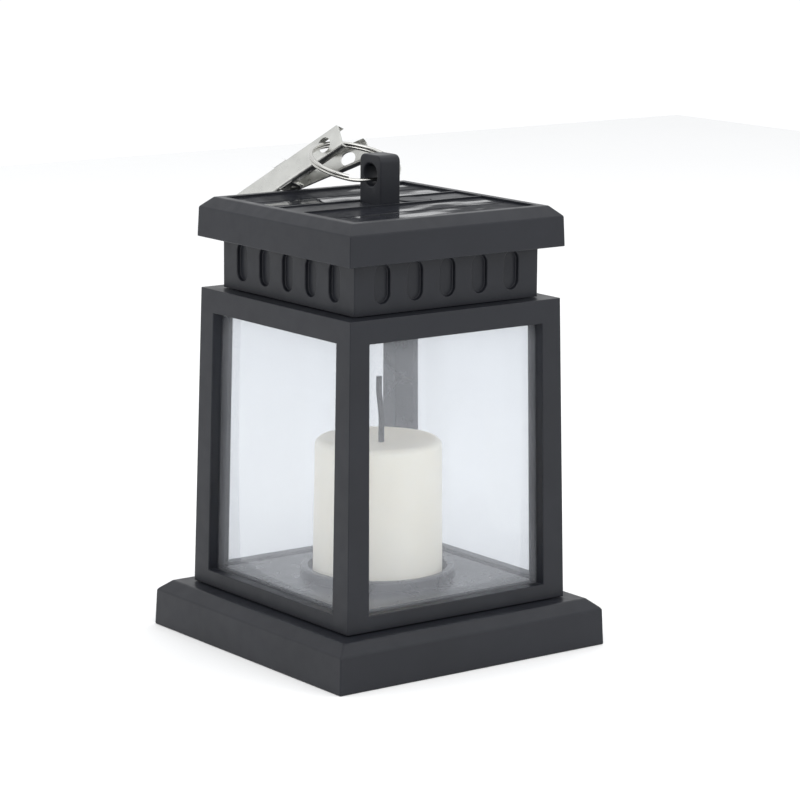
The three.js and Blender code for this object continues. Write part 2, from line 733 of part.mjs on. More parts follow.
function powerButton() {
  const topRound = 0.8;
  const bottom = ROOF_DECK_BOTTOM - BUTTON_FLANGE_DEPTH;
  const cap = turned([
    [0, bottom],
    [BUTTON_FLANGE_R, bottom],
    [BUTTON_FLANGE_R, ROOF_DECK_BOTTOM - GAP],
    [BUTTON_R, ROOF_DECK_BOTTOM - GAP],
    [BUTTON_R, BUTTON_TOP - topRound],
    [BUTTON_R - topRound * 0.3, BUTTON_TOP - topRound * 0.3],
    [BUTTON_R - topRound, BUTTON_TOP],
    [0, BUTTON_TOP],
  ], 40);
  return cap.translate([BUTTON_X, 0, 0]);
}

add("circuit_board", circuitBoard(), boardGreen);
BOARD_POSTS.forEach(([x, y], i) => {
  const seat = BOARD_BOTTOM + BOARD_THICKNESS + GAP / 2;
  add("board_screw_" + (i + 1), screwDown(x, y, seat, BOARD_SCREW_LENGTH), zincScrew);
});
NECK_SCREWS.forEach(([x, y], i) => {
  const seat = NECK_BOTTOM + NECK_FLOOR + GAP / 2;
  add("neck_screw_" + (i + 1), screwDown(x, y, seat, NECK_SCREW_LENGTH), zincScrew);
});
add("battery_holder", batteryHolder(), blackPlastic);
add("battery_cell", batteryCell(), batteryWrap);
add("battery_contact_positive", positiveContact(), nickel);
add("battery_contact_spring", springContact(), nickel);
add("button_switch", buttonSwitch(), blackPlastic);
const plungerTop = ROOF_DECK_BOTTOM - BUTTON_FLANGE_DEPTH - GAP;
const plunger = cylinder(PLUNGER_R, switchTop - PLUNGER_DEPTH, plungerTop, BUTTON_X, 0, 20);
add("switch_plunger", plunger, ivoryPlastic);
add("power_button", powerButton(), rubber);

// The two leads of the candle light run from the board into the corner channel, down to the base and
// up through the middle of the floor. Each stop is a point and the way the pair spreads there.
function ledLead(side) {
  const points = LEAD_ROUTE.map(([at, spread]) => at.map((v, i) => v + side * LEAD_SPREAD * spread[i]));
  return wire(points, LEAD_R, 52);
}

add("led_lead_red", ledLead(1), redWire);
add("led_lead_black", ledLead(-1), blackWire);

// A solar panel's lead drops through the roof deck and bends in to the board.
function panelLead(side) {
  const x = PANEL_LEAD_X;
  const boardTop = BOARD_BOTTOM + BOARD_THICKNESS;
  const route = [
    [x, side * PANEL_LEAD_Y, POCKET_FLOOR - 0.2],
    [x, side * PANEL_LEAD_Y, ROOF_DECK_BOTTOM - 1],
    [x - 1, side * (PANEL_LEAD_Y - 1.5), ROOF_DECK_BOTTOM - 4.5],
    [x - 1.5, side * (PANEL_LEAD_Y - 4) - 2, boardTop + 1.6],
    [x - 1.5, side * (PANEL_LEAD_Y - 5) - 2, boardTop + 0.5],
  ];
  return wire(route, PANEL_LEAD_R, 12, 6);
}

add("panel_lead_front", panelLead(-1), redWire);
add("panel_lead_back", panelLead(1), blackWire);

// ---------------------------------------------------------------- roof

function roofShell() {
  const side = taperedBlock(ROOF_HALF_BOTTOM, ROOF_HALF_SIDE, ROOF_BOTTOM, ROOF_SIDE_TOP);
  const bevel = taperedBlock(ROOF_HALF_SIDE, ROOF_HALF_TOP, ROOF_SIDE_TOP, ROOF_TOP);
  const hollow = squareBlock(ROOF_HALF_BOTTOM - ROOF_WALL, ROOF_BOTTOM - 1, ROOF_DECK_BOTTOM);
  const inside = ROOF_HALF_TOP - RIM_WIDTH;
  const recess = squareBlock(inside, DECK_TOP, ROOF_TOP + 1);
  const pocketInner = STRIP_HALF + RIB_WIDTH;
  const frontPocket = box(-inside, inside, -inside, -pocketInner, POCKET_FLOOR, ROOF_TOP + 1);
  const ribs = [-1, 1].map((s) => {
    const y = s * (STRIP_HALF + RIB_WIDTH / 2);
    const length = inside + 0.5;
    return box(-length, length, y - RIB_WIDTH / 2, y + RIB_WIDTH / 2, DECK_TOP - 0.5, RIB_TOP);
  });
  const lugSlot = box(
    -LUG_HALF_X - GAP,
    LUG_HALF_X + GAP,
    -LUG_HALF_Y - GAP,
    LUG_HALF_Y + GAP,
    ROOF_DECK_BOTTOM - 1,
    ROOF_TOP + 1,
  );
  const buttonHole = cylinder(BUTTON_HOLE_R, ROOF_DECK_BOTTOM - 1, ROOF_TOP + 1, BUTTON_X, 0, 40);
  const leadPlaces = [-1, 1].map((s) => [PANEL_LEAD_X, s * PANEL_LEAD_Y]);
  const leadHoles = holesAt(leadPlaces, 2 * PANEL_LEAD_R, ROOF_DECK_BOTTOM - 1, POCKET_FLOOR + 1);
  const screwPlaces = [-1, 1].map((s) => [0, s * LUG_SCREW_Y]);
  const lugPilots = holesAt(screwPlaces, PILOT_R, ROOF_DECK_BOTTOM - 1, ROOF_DECK_BOTTOM + 2.5);
  const pockets = union(frontPocket, frontPocket.rotate([0, 0, 180]));
  const shell = union(cut(union(side, bevel), hollow, recess, pockets), ...ribs);
  return cut(shell, lugSlot, buttonHole, ...leadHoles, ...lugPilots);
}

function solarPanel(side) {
  const inner = STRIP_HALF + RIB_WIDTH + GAP;
  const y0 = side < 0 ? -PANEL_OUTER_Y : inner;
  const y1 = side < 0 ? -inner : PANEL_OUTER_Y;
  return box(-PANEL_HALF_X, PANEL_HALF_X, y0, y1, PANEL_BOTTOM, PANEL_BOTTOM + PANEL_THICKNESS);
}

function hangingLug() {
  const y = LUG_HALF_Y;
  const r = LUG_ROUND;
  const outline = new THREE.Shape();
  outline.moveTo(-y, LUG_BLOCK_BOTTOM);
  outline.lineTo(y, LUG_BLOCK_BOTTOM);
  outline.lineTo(y, LUG_TOP - r);
  outline.absarc(y - r, LUG_TOP - r, r, 0, Math.PI / 2);
  outline.lineTo(-y + r, LUG_TOP);
  outline.absarc(-y + r, LUG_TOP - r, r, Math.PI / 2, Math.PI);
  outline.closePath();
  const options = { depth: 2 * LUG_HALF_X, bevelEnabled: false, curveSegments: 6 };
  const upright = new THREE.ExtrudeGeometry(outline, options).rotateX(Math.PI / 2).rotateZ(Math.PI / 2);
  const block = solid(upright.translate(-LUG_HALF_X, 0, 0));
  const hole = cylinderAlongX(LUG_HOLE_R, -LUG_HALF_X - 1, LUG_HALF_X + 1, 0, LUG_HOLE_Z, 36);
  const footTop = ROOF_DECK_BOTTOM - GAP;
  const footBottom = footTop - LUG_FOOT_THICKNESS;
  const foot = box(-LUG_HALF_X, LUG_HALF_X, -LUG_FOOT_HALF_Y, LUG_FOOT_HALF_Y, footBottom, footTop);
  const screwPlaces = [-1, 1].map((s) => [0, s * LUG_SCREW_Y]);
  const screwHoles = holesAt(screwPlaces, CLEARANCE_R, footBottom - 1, footTop + 1);
  return cut(union(block, foot), hole, ...screwHoles);
}

add("roof_shell", roofShell(), blackPlastic);
add("solar_panel_front", solarPanel(-1), solarGlass);
add("solar_panel_back", solarPanel(1), solarGlass);
add("hanging_lug", hangingLug(), blackPlastic);
[-1, 1].forEach((s, i) => {
  const seat = ROOF_DECK_BOTTOM - GAP - LUG_FOOT_THICKNESS - GAP / 2;
  const part = screw(0, s * LUG_SCREW_Y, seat, LUG_SCREW_LENGTH);
  add("lug_screw_" + (i + 1), part, zincScrew);
});

// ---------------------------------------------------------------- split ring

function splitRing() {
  const a = RING_RADIAL / 2;
  const h = RING_AXIAL / 2;
  const c = 0.35;
  const section = [
    [RING_R - a, -h + c],
    [RING_R - a + c, -h],
    [RING_R + a - c, -h],
    [RING_R + a, -h + c],
    [RING_R + a, h - c],
    [RING_R + a - c, h],
    [RING_R - a + c, h],
    [RING_R - a, h - c],
    [RING_R - a, -h + c],
  ];
  const flat = turned(section, 48);
  return flat
    .translate([0, RING_R, 0])
    .rotate([THREE.MathUtils.radToDeg(RING_TILT), 0, 0])
    .translate([0, 0, RING_PIVOT_Z]);
}

add("split_ring", splitRing(), nickel);

// ---------------------------------------------------------------- spring clip

// The clip is built along its own axes: X from handle to jaw, Y along the pivot pin, and Z from the
// upper plate to the lever. The group then hangs it on the ring by its hole.
const clip = new THREE.Group();
const across = CLIP_ACROSS.clone().addScaledVector(CLIP_ALONG, -CLIP_ACROSS.dot(CLIP_ALONG)).normalize();
const through = new THREE.Vector3().crossVectors(across, CLIP_ALONG);
const ringAngle = Math.asin(-CLIP_RING_X / RING_R);
const ringReach = RING_R * (1 + Math.cos(ringAngle));
const clipHole = new THREE.Vector3(
  CLIP_RING_X,
  ringReach * Math.cos(RING_TILT),
  RING_PIVOT_Z + ringReach * Math.sin(RING_TILT),
);
clip.setRotationFromMatrix(new THREE.Matrix4().makeBasis(CLIP_ALONG, across.clone().negate(), through));
clip.position.copy(clipHole).addScaledVector(CLIP_ALONG, -CLIP_HOLE_FROM_END);
lantern.add(clip);

// A strip of even thickness that follows [along, height] points, width wide.
function bentStrip(points, width, thickness) {
  const route = points.map(([u, n]) => new THREE.Vector2(u, n));
  const normals = route.map((p, i) => {
    const before = route[Math.max(0, i - 1)];
    const after = route[Math.min(route.length - 1, i + 1)];
    const inward = p.clone().sub(before).normalize();
    const outward = after.clone().sub(p).normalize();
    const direction = inward.add(outward).normalize();
    const next = i < route.length - 1 ? after.clone().sub(p) : p.clone().sub(before);
    const stretch = 1 / direction.dot(next.normalize());
    return new THREE.Vector2(-direction.y, direction.x).multiplyScalar((stretch * thickness) / 2);
  });
  const upper = route.map((p, i) => [p.x + normals[i].x, p.y + normals[i].y]);
  const lower = route.map((p, i) => [p.x - normals[i].x, p.y - normals[i].y]);
  return plate([...lower, ...upper.reverse()], -width / 2, width / 2).rotate([90, 0, 0]);
}

// A folded strip from the handle end: its web lies about Z = 0 and its two sides stand up to a height.
function channel(length, width, height) {
  const outer = width / 2;
  const inner = outer - CLIP_THICKNESS;
  const foldX = outer - CLIP_FOLD_R;
  const foldY = CLIP_FOLD_R - CLIP_THICKNESS / 2;
  const insideR = CLIP_FOLD_R - CLIP_THICKNESS;
  const shape = new THREE.Shape();
  shape.moveTo(-outer, height);
  shape.absarc(-foldX, foldY, CLIP_FOLD_R, Math.PI, 1.5 * Math.PI, false);
  shape.absarc(foldX, foldY, CLIP_FOLD_R, -0.5 * Math.PI, 0, false);
  shape.lineTo(outer, height);
  shape.lineTo(inner, height);
  shape.absarc(foldX, foldY, insideR, 0, -0.5 * Math.PI, true);
  shape.absarc(-foldX, foldY, insideR, 1.5 * Math.PI, Math.PI, true);
  shape.lineTo(-inner, height);
  shape.closePath();
  const options = { depth: length, bevelEnabled: false, curveSegments: 5 };
  return solid(new THREE.ExtrudeGeometry(shape, options)).rotate([90, 0, 90]);
}

// Takes a channel's sides away above a line that falls from full height at u0 to the web at u1.
function sideTaper(u0, u1, height, length) {
  const web = CLIP_THICKNESS / 2;
  const end = length + 1;
  const outline = [
    [u0, height],
    [u1, web],
    [end, web],
    [end, height + 1],
    [u0, height + 1],
  ];
  return plate(outline, -CLIP_WIDTH, CLIP_WIDTH).rotate([90, 0, 0]);
}

// Rounds the two corners of a strip's end at u; facing is -1 at its start and 1 at its far end.
function endCorners(u, facing, width) {
  const r = CLIP_CORNER_R;
  return [-1, 1].map((s) => {
    const x = u - facing * r;
    const y = s * (width / 2 - r);
    const [x0, x1] = [x, x + 2 * facing * r].sort((a, b) => a - b);
    const [y0, y1] = [y, y + 2 * s * r].sort((a, b) => a - b);
    const reach = 2 * CLIP_SIDE_HEIGHT;
    return cut(box(x0, x1, y0, y1, -reach, reach), cylinder(r, -reach - 1, reach + 1, x, y, 24));
  });
}

// An ear round the pin on each side, at +-y, reaching from the plate at height n.
function ears(y, n, r) {
  const t = CLIP_THICKNESS / 2;
  const parts = [-1, 1].map((s) => {
    const round = cylinder(r, s * y - t, s * y + t, CLIP_PIVOT_U, -CLIP_PIVOT_N, 24);
    const n0 = Math.min(n, CLIP_PIVOT_N);
    const n1 = Math.max(n, CLIP_PIVOT_N);
    const web = box(CLIP_PIVOT_U - r, CLIP_PIVOT_U + r, -n1, -n0, s * y - t, s * y + t);
    return union(round, web).rotate([-90, 0, 0]);
  });
  return union(...parts);
}

const pinHole = cylinder(CLIP_PIN_R + 0.15, -8, 8, CLIP_PIVOT_U, -CLIP_PIVOT_N, 20).rotate([-90, 0, 0]);

function clipUpperPlate() {
  const folded = channel(CLIP_LENGTH, CLIP_WIDTH, CLIP_SIDE_HEIGHT);
  const taper = sideTaper(CLIP_SIDE_FULL_TO, CLIP_SIDE_END, CLIP_SIDE_HEIGHT, CLIP_LENGTH);
  const ringHole = cylinder(CLIP_HOLE_R, -3, 3, CLIP_HOLE_FROM_END, 0, 28);
  const strip = cut(
    folded,
    taper,
    ringHole,
    ...endCorners(0, -1, CLIP_WIDTH),
    ...endCorners(CLIP_LENGTH, 1, CLIP_WIDTH),
  );
  return cut(union(strip, ears(CLIP_WIDTH / 2 - CLIP_THICKNESS / 2, 0, CLIP_EAR_R)), pinHole);
}

function clipLowerPlate() {
  const [startU, startN] = LEVER_START;
  const slope = Math.atan2(startN - LEVER_KNEE[1], LEVER_KNEE[0] - startU);
  const folded = channel(LEVER_HANDLE_LENGTH, LEVER_HANDLE_WIDTH, LEVER_SIDE_HEIGHT);
  const handHole = cylinder(CLIP_HOLE_R, -3, 3, LEVER_HOLE_FROM_END, 0, 28);
  const taper = sideTaper(LEVER_SIDE_FULL_TO, LEVER_HANDLE_LENGTH, LEVER_SIDE_HEIGHT, LEVER_HANDLE_LENGTH);
  const handle = cut(folded, taper, handHole, ...endCorners(0, -1, LEVER_HANDLE_WIDTH))
    .rotate([180, 0, 0])
    .rotate([0, THREE.MathUtils.radToDeg(slope), 0])
    .translate([startU, 0, startN]);
  const overlap = LEVER_HANDLE_LENGTH - 1.5;
  const bodyStart = [startU + overlap * Math.cos(slope), startN - overlap * Math.sin(slope)];
  const body = bentStrip([bodyStart, LEVER_KNEE, ...LEVER_JAW], LEVER_WIDTH, CLIP_THICKNESS);
  const earSpan = LEVER_WIDTH / 2 - CLIP_THICKNESS / 2;
  const plates = union(handle, body, ears(earSpan, LEVER_KNEE[1], LEVER_EAR_R));
  const jawEnd = LEVER_JAW[LEVER_JAW.length - 1][0];
  return cut(plates, pinHole, ...endCorners(jawEnd, 1, LEVER_WIDTH));
}

function clipPin() {
  const halfLength = CLIP_WIDTH / 2 + CLIP_PIN_HEAD;
  const shank = cylinder(CLIP_PIN_R, -halfLength, halfLength, CLIP_PIVOT_U, -CLIP_PIVOT_N, 16);
  const heads = [-1, 1].map((s) => {
    const start = CLIP_WIDTH / 2 + 0.05;
    const z0 = Math.min(s * start, s * (start + CLIP_PIN_HEAD));
    return cylinder(CLIP_PIN_R + CLIP_PIN_HEAD, z0, z0 + CLIP_PIN_HEAD, CLIP_PIVOT_U, -CLIP_PIVOT_N, 16);
  });
  return union(shank, ...heads).rotate([-90, 0, 0]);
}

function clipSpring() {
  const [lowEnd, highEnd] = SPRING_LEG_HEIGHTS;
  const points = [[SPRING_LEG_END, -SPRING_HALF_WIDTH, lowEnd]];
  const start = -Math.PI / 2;
  const count = SPRING_TURNS * 8;
  for (let i = 0; i <= count; i++) {
    const angle = start + (2 * Math.PI * SPRING_TURNS * i) / count;
    const y = -SPRING_HALF_WIDTH + (2 * SPRING_HALF_WIDTH * i) / count;
    const u = CLIP_PIVOT_U + SPRING_COIL_R * Math.cos(angle);
    points.push([u, y, CLIP_PIVOT_N + SPRING_COIL_R * Math.sin(angle)]);
  }
  points.push([SPRING_LEG_END, SPRING_HALF_WIDTH, highEnd]);
  return wire(points, SPRING_WIRE_R, 76, 6);
}

addTo(clip, "clip_upper_plate", clipUpperPlate(), nickel);
addTo(clip, "clip_lower_plate", clipLowerPlate(), nickel);
addTo(clip, "clip_pin", clipPin(), nickel);
addTo(clip, "clip_spring", clipSpring(), nickel);

export default lantern;
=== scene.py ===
"""The looks of a small solar lantern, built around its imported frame. Shapes are made in millimetres."""

import math

import bmesh
import bpy
from mathutils import Matrix, Vector, noise


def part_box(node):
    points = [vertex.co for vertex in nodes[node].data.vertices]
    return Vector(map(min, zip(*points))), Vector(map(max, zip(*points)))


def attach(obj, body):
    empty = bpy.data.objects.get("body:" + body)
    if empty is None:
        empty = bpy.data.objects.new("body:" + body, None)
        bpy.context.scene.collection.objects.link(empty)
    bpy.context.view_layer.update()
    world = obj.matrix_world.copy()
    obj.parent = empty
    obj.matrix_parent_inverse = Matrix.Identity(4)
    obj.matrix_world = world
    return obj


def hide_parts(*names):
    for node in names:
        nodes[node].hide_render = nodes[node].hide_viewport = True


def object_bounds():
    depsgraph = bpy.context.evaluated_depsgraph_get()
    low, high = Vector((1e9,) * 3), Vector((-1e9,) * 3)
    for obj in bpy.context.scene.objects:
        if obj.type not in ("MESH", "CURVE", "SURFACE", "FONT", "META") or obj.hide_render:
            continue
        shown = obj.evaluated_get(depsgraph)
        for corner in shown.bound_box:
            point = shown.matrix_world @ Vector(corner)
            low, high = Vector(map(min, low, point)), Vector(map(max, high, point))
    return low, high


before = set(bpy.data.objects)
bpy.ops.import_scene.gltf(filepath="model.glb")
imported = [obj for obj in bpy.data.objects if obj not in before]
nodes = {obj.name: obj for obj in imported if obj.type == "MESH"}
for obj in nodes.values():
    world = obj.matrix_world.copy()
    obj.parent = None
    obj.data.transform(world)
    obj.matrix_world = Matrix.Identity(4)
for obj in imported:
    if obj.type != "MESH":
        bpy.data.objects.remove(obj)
cad_low, cad_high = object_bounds()

MM = 0.001
SHARP = math.radians(35)  # an edge this sharp is rounded, and stays crisp in shading

# Driving sizes that the frame's boxes don't give, in millimetres, with angles in radians.
CANDLE_R_BOTTOM = 18.1
CANDLE_R_TOP = 17.6
CANDLE_WALL = 1.6
CANDLE_EDGE = 2
CANDLE_DISH = 1.15
WICK_R = 0.82
WICK_FOOT = (0.66, -0.49)
WICK_TIP = (0.1, -0.07)
BUTTON_R = 4.7
LUG_HALF_X = 3.35
LUG_HALF_Y = 4.8
LUG_CORNER = 2.25
LUG_HOLE_R = 3.1
LUG_HOLE_Z = 129.4
RING_R = 12.4
RING_TILT = math.radians(17.5)
RING_PIVOT = Vector((0, 0, 127.7))
CLIP_WIDTH = 7.5
CLIP_HOLE_FROM_END = 5.9
CLIP_PIVOT_U = 22
CLIP_PIVOT_N = 3.4
CLIP_PIN_R = 0.8
CLIP_HOLE_X = -1.8
SPRING_LEG_END = 16
SPRING_LEG_LOW = 0.95
SPRING_LEG_HIGH = 6.7
ROOF_OUTSIDE_FROM = 31
ROOF_OUTER_ROUNDING = 0.32
ROOF_INNER_ROUNDING = 0.04
CANDLE_FOOT = 1
SEAM_END = 1.2
SPRING_R = 1.45
SPRING_WIRE_R = 0.21
SPRING_TURNS = 3.5
SPRING_HALF_WIDTH = 1.3
LUG_EDGE = 0.45
LUG_FOOT_DEPTH = 3.6
LUG_FOOT_OVERLAP = 0.2
CHIP_GAP = 0.02
DIODE_R = 2.5
DIODE_FLANGE_R = 2.9
CELL_R = 5.25
CELL_NIPPLE = 0.9
CONTACT_COIL_TURNS = 3.25
CONTACT_WIRE_R = 0.3
BUTTON_FLANGE_HEIGHT = 1.4
SCREW_HEAD_R = 1.88
SCREW_ROOT_R = 0.72
SCREW_THREAD_R = 0.93
SCREW_SPIRAL_R = 0.76
SCREW_PITCH = 0.8
RING_HALF_RADIAL = 0.58
RING_HALF_LAYER = 0.42
RING_CROSS_AT = math.radians(203)
RING_CROSS_HALF = math.radians(17)
CLIP_ALONG = Vector((-0.367, 0.744, -0.558)).normalized()
CLIP_ACROSS = Vector((-0.193, -0.648, -0.737))

# ---------------------------------------------------------------- camera, floor and light

CAMERA_AT = Vector((-0.5150, -0.6975, 0.2367))
CAMERA_AZIMUTH = math.radians(-36.44)
CAMERA_ELEVATION = math.radians(11.20)
CAMERA_ROLL = math.radians(0.38)
SENSOR_WIDTH = 36
FOCAL_LENGTH = 144
CAMERA_SHIFT = (0.0269, 0.0075)
FLOOR_HALF = 1.0
ROOM = (-0.58, -0.79, 0.2)  # the direction in which the studio's white walls give way to the dim room
ROOM_FADE = {"From Min": 0.15, "From Max": 0.85, "To Min": 1.05, "To Max": 0.4}
# Each softbox: its name, place in metres, side in metres and power in watts.
SOFTBOXES = [
    ("softbox_above", (0.1, -0.1, 1.3), 1.6, 6.5),
    ("softbox_left", (-1.4, 0.2, 0.7), 0.9, 2),
    ("softbox_right", (0.7, -1.3, 0.8), 0.9, 3),
    ("softbox_front", (-0.75, -1.0, 0.95), 1.2, 12),
]


def add_camera():
    data = bpy.data.cameras.new("camera")
    data.sensor_width = SENSOR_WIDTH
    data.lens = FOCAL_LENGTH
    data.shift_x, data.shift_y = CAMERA_SHIFT
    data.clip_start = 0.01
    data.clip_end = 50
    camera = bpy.data.objects.new("camera", data)
    level = math.cos(CAMERA_ELEVATION)
    forward = Vector((
        -math.sin(CAMERA_AZIMUTH) * level,
        math.cos(CAMERA_AZIMUTH) * level,
        -math.sin(CAMERA_ELEVATION),
    ))
    right = forward.cross(Vector((0, 0, 1))).normalized()
    up = right.cross(forward)
    rolled = Matrix((right, up, -forward)).transposed() @ Matrix.Rotation(CAMERA_ROLL, 3, "Z")
    camera.matrix_world = Matrix.Translation(CAMERA_AT) @ rolled.to_4x4()
    bpy.context.scene.collection.objects.link(camera)
    bpy.context.scene.camera = camera


def add_softbox(name, at, size, power):
    """A square area lamp aimed at the middle of the object."""
    data = bpy.data.lights.new(name, "AREA")
    data.size = size
    data.energy = power
    lamp = bpy.data.objects.new(name, data)
    lamp.location = at
    lamp.rotation_mode = "QUATERNION"
    lamp.rotation_quaternion = (Vector(at) - (cad_low + cad_high) / 2).to_track_quat("Z", "Y")
    bpy.context.scene.collection.objects.link(lamp)


def add_studio():
    world = bpy.data.worlds.new("studio")
    world.use_nodes = True
    tree = world.node_tree
    background = tree.nodes["Background"]
    background.inputs["Color"].default_value = (0.98, 0.99, 1.0, 1)
    towards_room = tree.nodes.new("ShaderNodeVectorMath")
    towards_room.operation = "DOT_PRODUCT"
    towards_room.inputs[1].default_value = ROOM
    tree.links.new(tree.nodes.new("ShaderNodeTexCoord").outputs["Generated"], towards_room.inputs[0])
    dimmed = tree.nodes.new("ShaderNodeMapRange")
    dimmed.interpolation_type = "SMOOTHSTEP"
    for socket, value in ROOM_FADE.items():
        dimmed.inputs[socket].default_value = value
    tree.links.new(towards_room.outputs["Value"], dimmed.inputs["Value"])
    tree.links.new(dimmed.outputs["Result"], background.inputs["Strength"])
    bpy.context.scene.world = world
    for softbox in SOFTBOXES:
        add_softbox(*softbox)
    bpy.context.scene.view_settings.view_transform = "Standard"


def add_floor(material):
    """A wide, flat, pale floor."""
    bm = bmesh.new()
    bmesh.ops.create_grid(bm, x_segments=8, y_segments=8, size=FLOOR_HALF)
    mesh = bpy.data.meshes.new("floor")
    bm.to_mesh(mesh)
    bm.free()
    mesh.materials.append(material)
    floor = bpy.data.objects.new("floor", mesh)
    bpy.context.scene.collection.objects.link(floor)


# ---------------------------------------------------------------- materials


class Paint:
    """A material in the making: the Principled shader, and short names for the nodes that feed it."""

    def __init__(self, name, settings):
        self.material = bpy.data.materials.new(name)
        self.material.use_nodes = True
        self.nodes = self.material.node_tree.nodes
        self.links = self.material.node_tree.links
        self.shader = self.nodes["Principled BSDF"]
        self.place = self.nodes.new("ShaderNodeTexCoord").outputs["Object"]
        for socket, value in settings.items():
            self.shader.inputs[socket].default_value = value

    def feed(self, source, socket):
        self.links.new(source, self.shader.inputs[socket])

    def mapped(self, stretch, turn=(0, 0, 0)):
        mapping = self.nodes.new("ShaderNodeMapping")
        mapping.inputs["Scale"].default_value = stretch
        mapping.inputs["Rotation"].default_value = turn
        self.links.new(self.place, mapping.inputs["Vector"])
        return mapping.outputs["Vector"]

    def noise(self, scale, detail=2.0, place=None):
        """Smooth noise of that many features a metre."""
        texture = self.nodes.new("ShaderNodeTexNoise")
        texture.inputs["Scale"].default_value = scale
        texture.inputs["Detail"].default_value = detail
        self.links.new(place or self.place, texture.inputs["Vector"])
        return texture.outputs["Fac"]

    def spread(self, source, low, high, start=0.3, end=0.7):
        """source, read from start to end, as a value from low to high."""
        node = self.nodes.new("ShaderNodeMapRange")
        for socket, value in (("From Min", start), ("From Max", end), ("To Min", low), ("To Max", high)):
            node.inputs[socket].default_value = value
        self.links.new(source, node.inputs["Value"])
        return node.outputs["Result"]

    def mix(self, amount, first, second):
        """The colours first and second, mixed by amount."""
        node = self.nodes.new("ShaderNodeMix")
        node.data_type = "RGBA"
        self.links.new(amount, node.inputs[0])
        for value, socket in ((first, node.inputs[6]), (second, node.inputs[7])):
            if isinstance(value, bpy.types.NodeSocket):
                self.links.new(value, socket)
            else:
                socket.default_value = (*value, 1)
        return node.outputs[2]

    def bump(self, height, strength, depth, below=None):
        node = self.nodes.new("ShaderNodeBump")
        node.inputs["Strength"].default_value = strength
        node.inputs["Distance"].default_value = depth
        self.links.new(height, node.inputs["Height"])
        if below is not None:
            self.links.new(below, node.inputs["Normal"])
        return node.outputs["Normal"]


def scaled(colour, factor):
    return tuple(min(1.0, channel * factor) for channel in colour)


def moulded_plastic(name, colour, roughness, grain=0.25, settings=None, flow=0.1):
    """Injection-moulded plastic: faint flow clouding, a fine spark-eroded grain and uneven gloss."""
    paint = Paint(name, {"IOR": 1.5, "Specular IOR Level": 0.3, **(settings or {})})
    clouds = paint.noise(55, 3)
    fine = paint.noise(3200, 2)
    tone = paint.mix(paint.spread(clouds, 0, 1), scaled(colour, 0.9), scaled(colour, 1.1))
    dust = paint.spread(paint.noise(900, 1), 0, 0.35, 0.74, 0.8)
    paint.feed(paint.mix(dust, tone, scaled(colour, 1.5)), "Base Color")
    paint.feed(paint.spread(paint.noise(240, 3), roughness - 0.05, roughness + 0.05), "Roughness")
    waves = paint.bump(paint.noise(120, 2), flow, 0.0004)
    paint.feed(paint.bump(fine, grain, 0.00004, waves), "Normal")
    return paint.material


def clear_pane():
    """A clear moulded pane: light goes through a faint bloom, and both faces mirror by Fresnel's law."""
    paint = Paint("clear_pane", {})
    nodes_, links = paint.nodes, paint.links
    side = nodes_.new("ShaderNodeNewGeometry").outputs["Backfacing"]
    fresnel = nodes_.new("ShaderNodeFresnel")
    links.new(paint.spread(side, 1.32, 1 / 1.32, 0, 1), fresnel.inputs["IOR"])
    clear = nodes_.new("ShaderNodeBsdfTransparent")
    clear.inputs["Color"].default_value = (0.920, 0.929, 0.939, 1)
    bloom = nodes_.new("ShaderNodeBsdfDiffuse")
    bloom.inputs["Color"].default_value = (0.86, 0.88, 0.93, 1)
    gloss = nodes_.new("ShaderNodeBsdfGlossy")
    gloss.inputs["Color"].default_value = (0.90, 0.92, 0.955, 1)
    links.new(paint.spread(paint.noise(70, 2), 0.03, 0.08), gloss.inputs["Roughness"])
    links.new(paint.bump(paint.noise(60, 1), 0.02, 0.0005), gloss.inputs["Normal"])
    body = nodes_.new("ShaderNodeMixShader")
    links.new(paint.spread(paint.noise(40, 2), 0.085, 0.11), body.inputs[0])
    links.new(clear.outputs[0], body.inputs[1])
    links.new(bloom.outputs[0], body.inputs[2])
    mixed = nodes_.new("ShaderNodeMixShader")
    links.new(fresnel.outputs["Fac"], mixed.inputs[0])
    links.new(body.outputs[0], mixed.inputs[1])
    links.new(gloss.outputs[0], mixed.inputs[2])
    links.new(mixed.outputs[0], nodes_["Material Output"].inputs["Surface"])
    nodes_.remove(paint.shader)
    return paint.material


def wax():
    """Wax-like ivory plastic that lets a little light into its skin, and glows faintly with painted light.
    """
    colour = (0.94, 0.865, 0.71)
    paint = Paint("wax", {
        "Subsurface Weight": 0.6,
        "Subsurface Radius": (0.004, 0.0035, 0.003),
        "Subsurface Scale": 2.0,
        # The faint warm emission is painted light: it brightens the whole candle, whose top the roof shades.
        "Emission Color": (1.0, 0.93, 0.80, 1),
        "Emission Strength": 0.15,
        "IOR": 1.45,
    })
    clouds = paint.noise(70, 4)
    tone = paint.mix(paint.spread(clouds, 0, 1), scaled(colour, 0.96), scaled(colour, 1.03))
    paint.feed(tone, "Base Color")
    paint.feed(paint.spread(paint.noise(160, 2), 0.38, 0.5), "Roughness")
    paint.feed(paint.bump(paint.noise(420, 3), 0.12, 0.0002), "Normal")
    return paint.material


def plated_steel(name, colour, roughness, scratches=0.25):
    """Nickel or zinc over drawn steel: soft clouding in the gloss and hairline scratches."""
    paint = Paint(name, {"Metallic": 1.0})
    clouds = paint.noise(200, 3)
    tone = paint.mix(paint.spread(clouds, 0, 1), scaled(colour, 0.92), scaled(colour, 1.06))
    paint.feed(tone, "Base Color")
    paint.feed(paint.spread(paint.noise(500, 3), roughness - 0.06, roughness + 0.08), "Roughness")
    hairlines = paint.noise(900, 2, paint.mapped((1, 1, 9), (0.6, 0.4, 0.3)))
    paint.feed(paint.bump(hairlines, scratches, 0.00001), "Normal")
    return paint.material


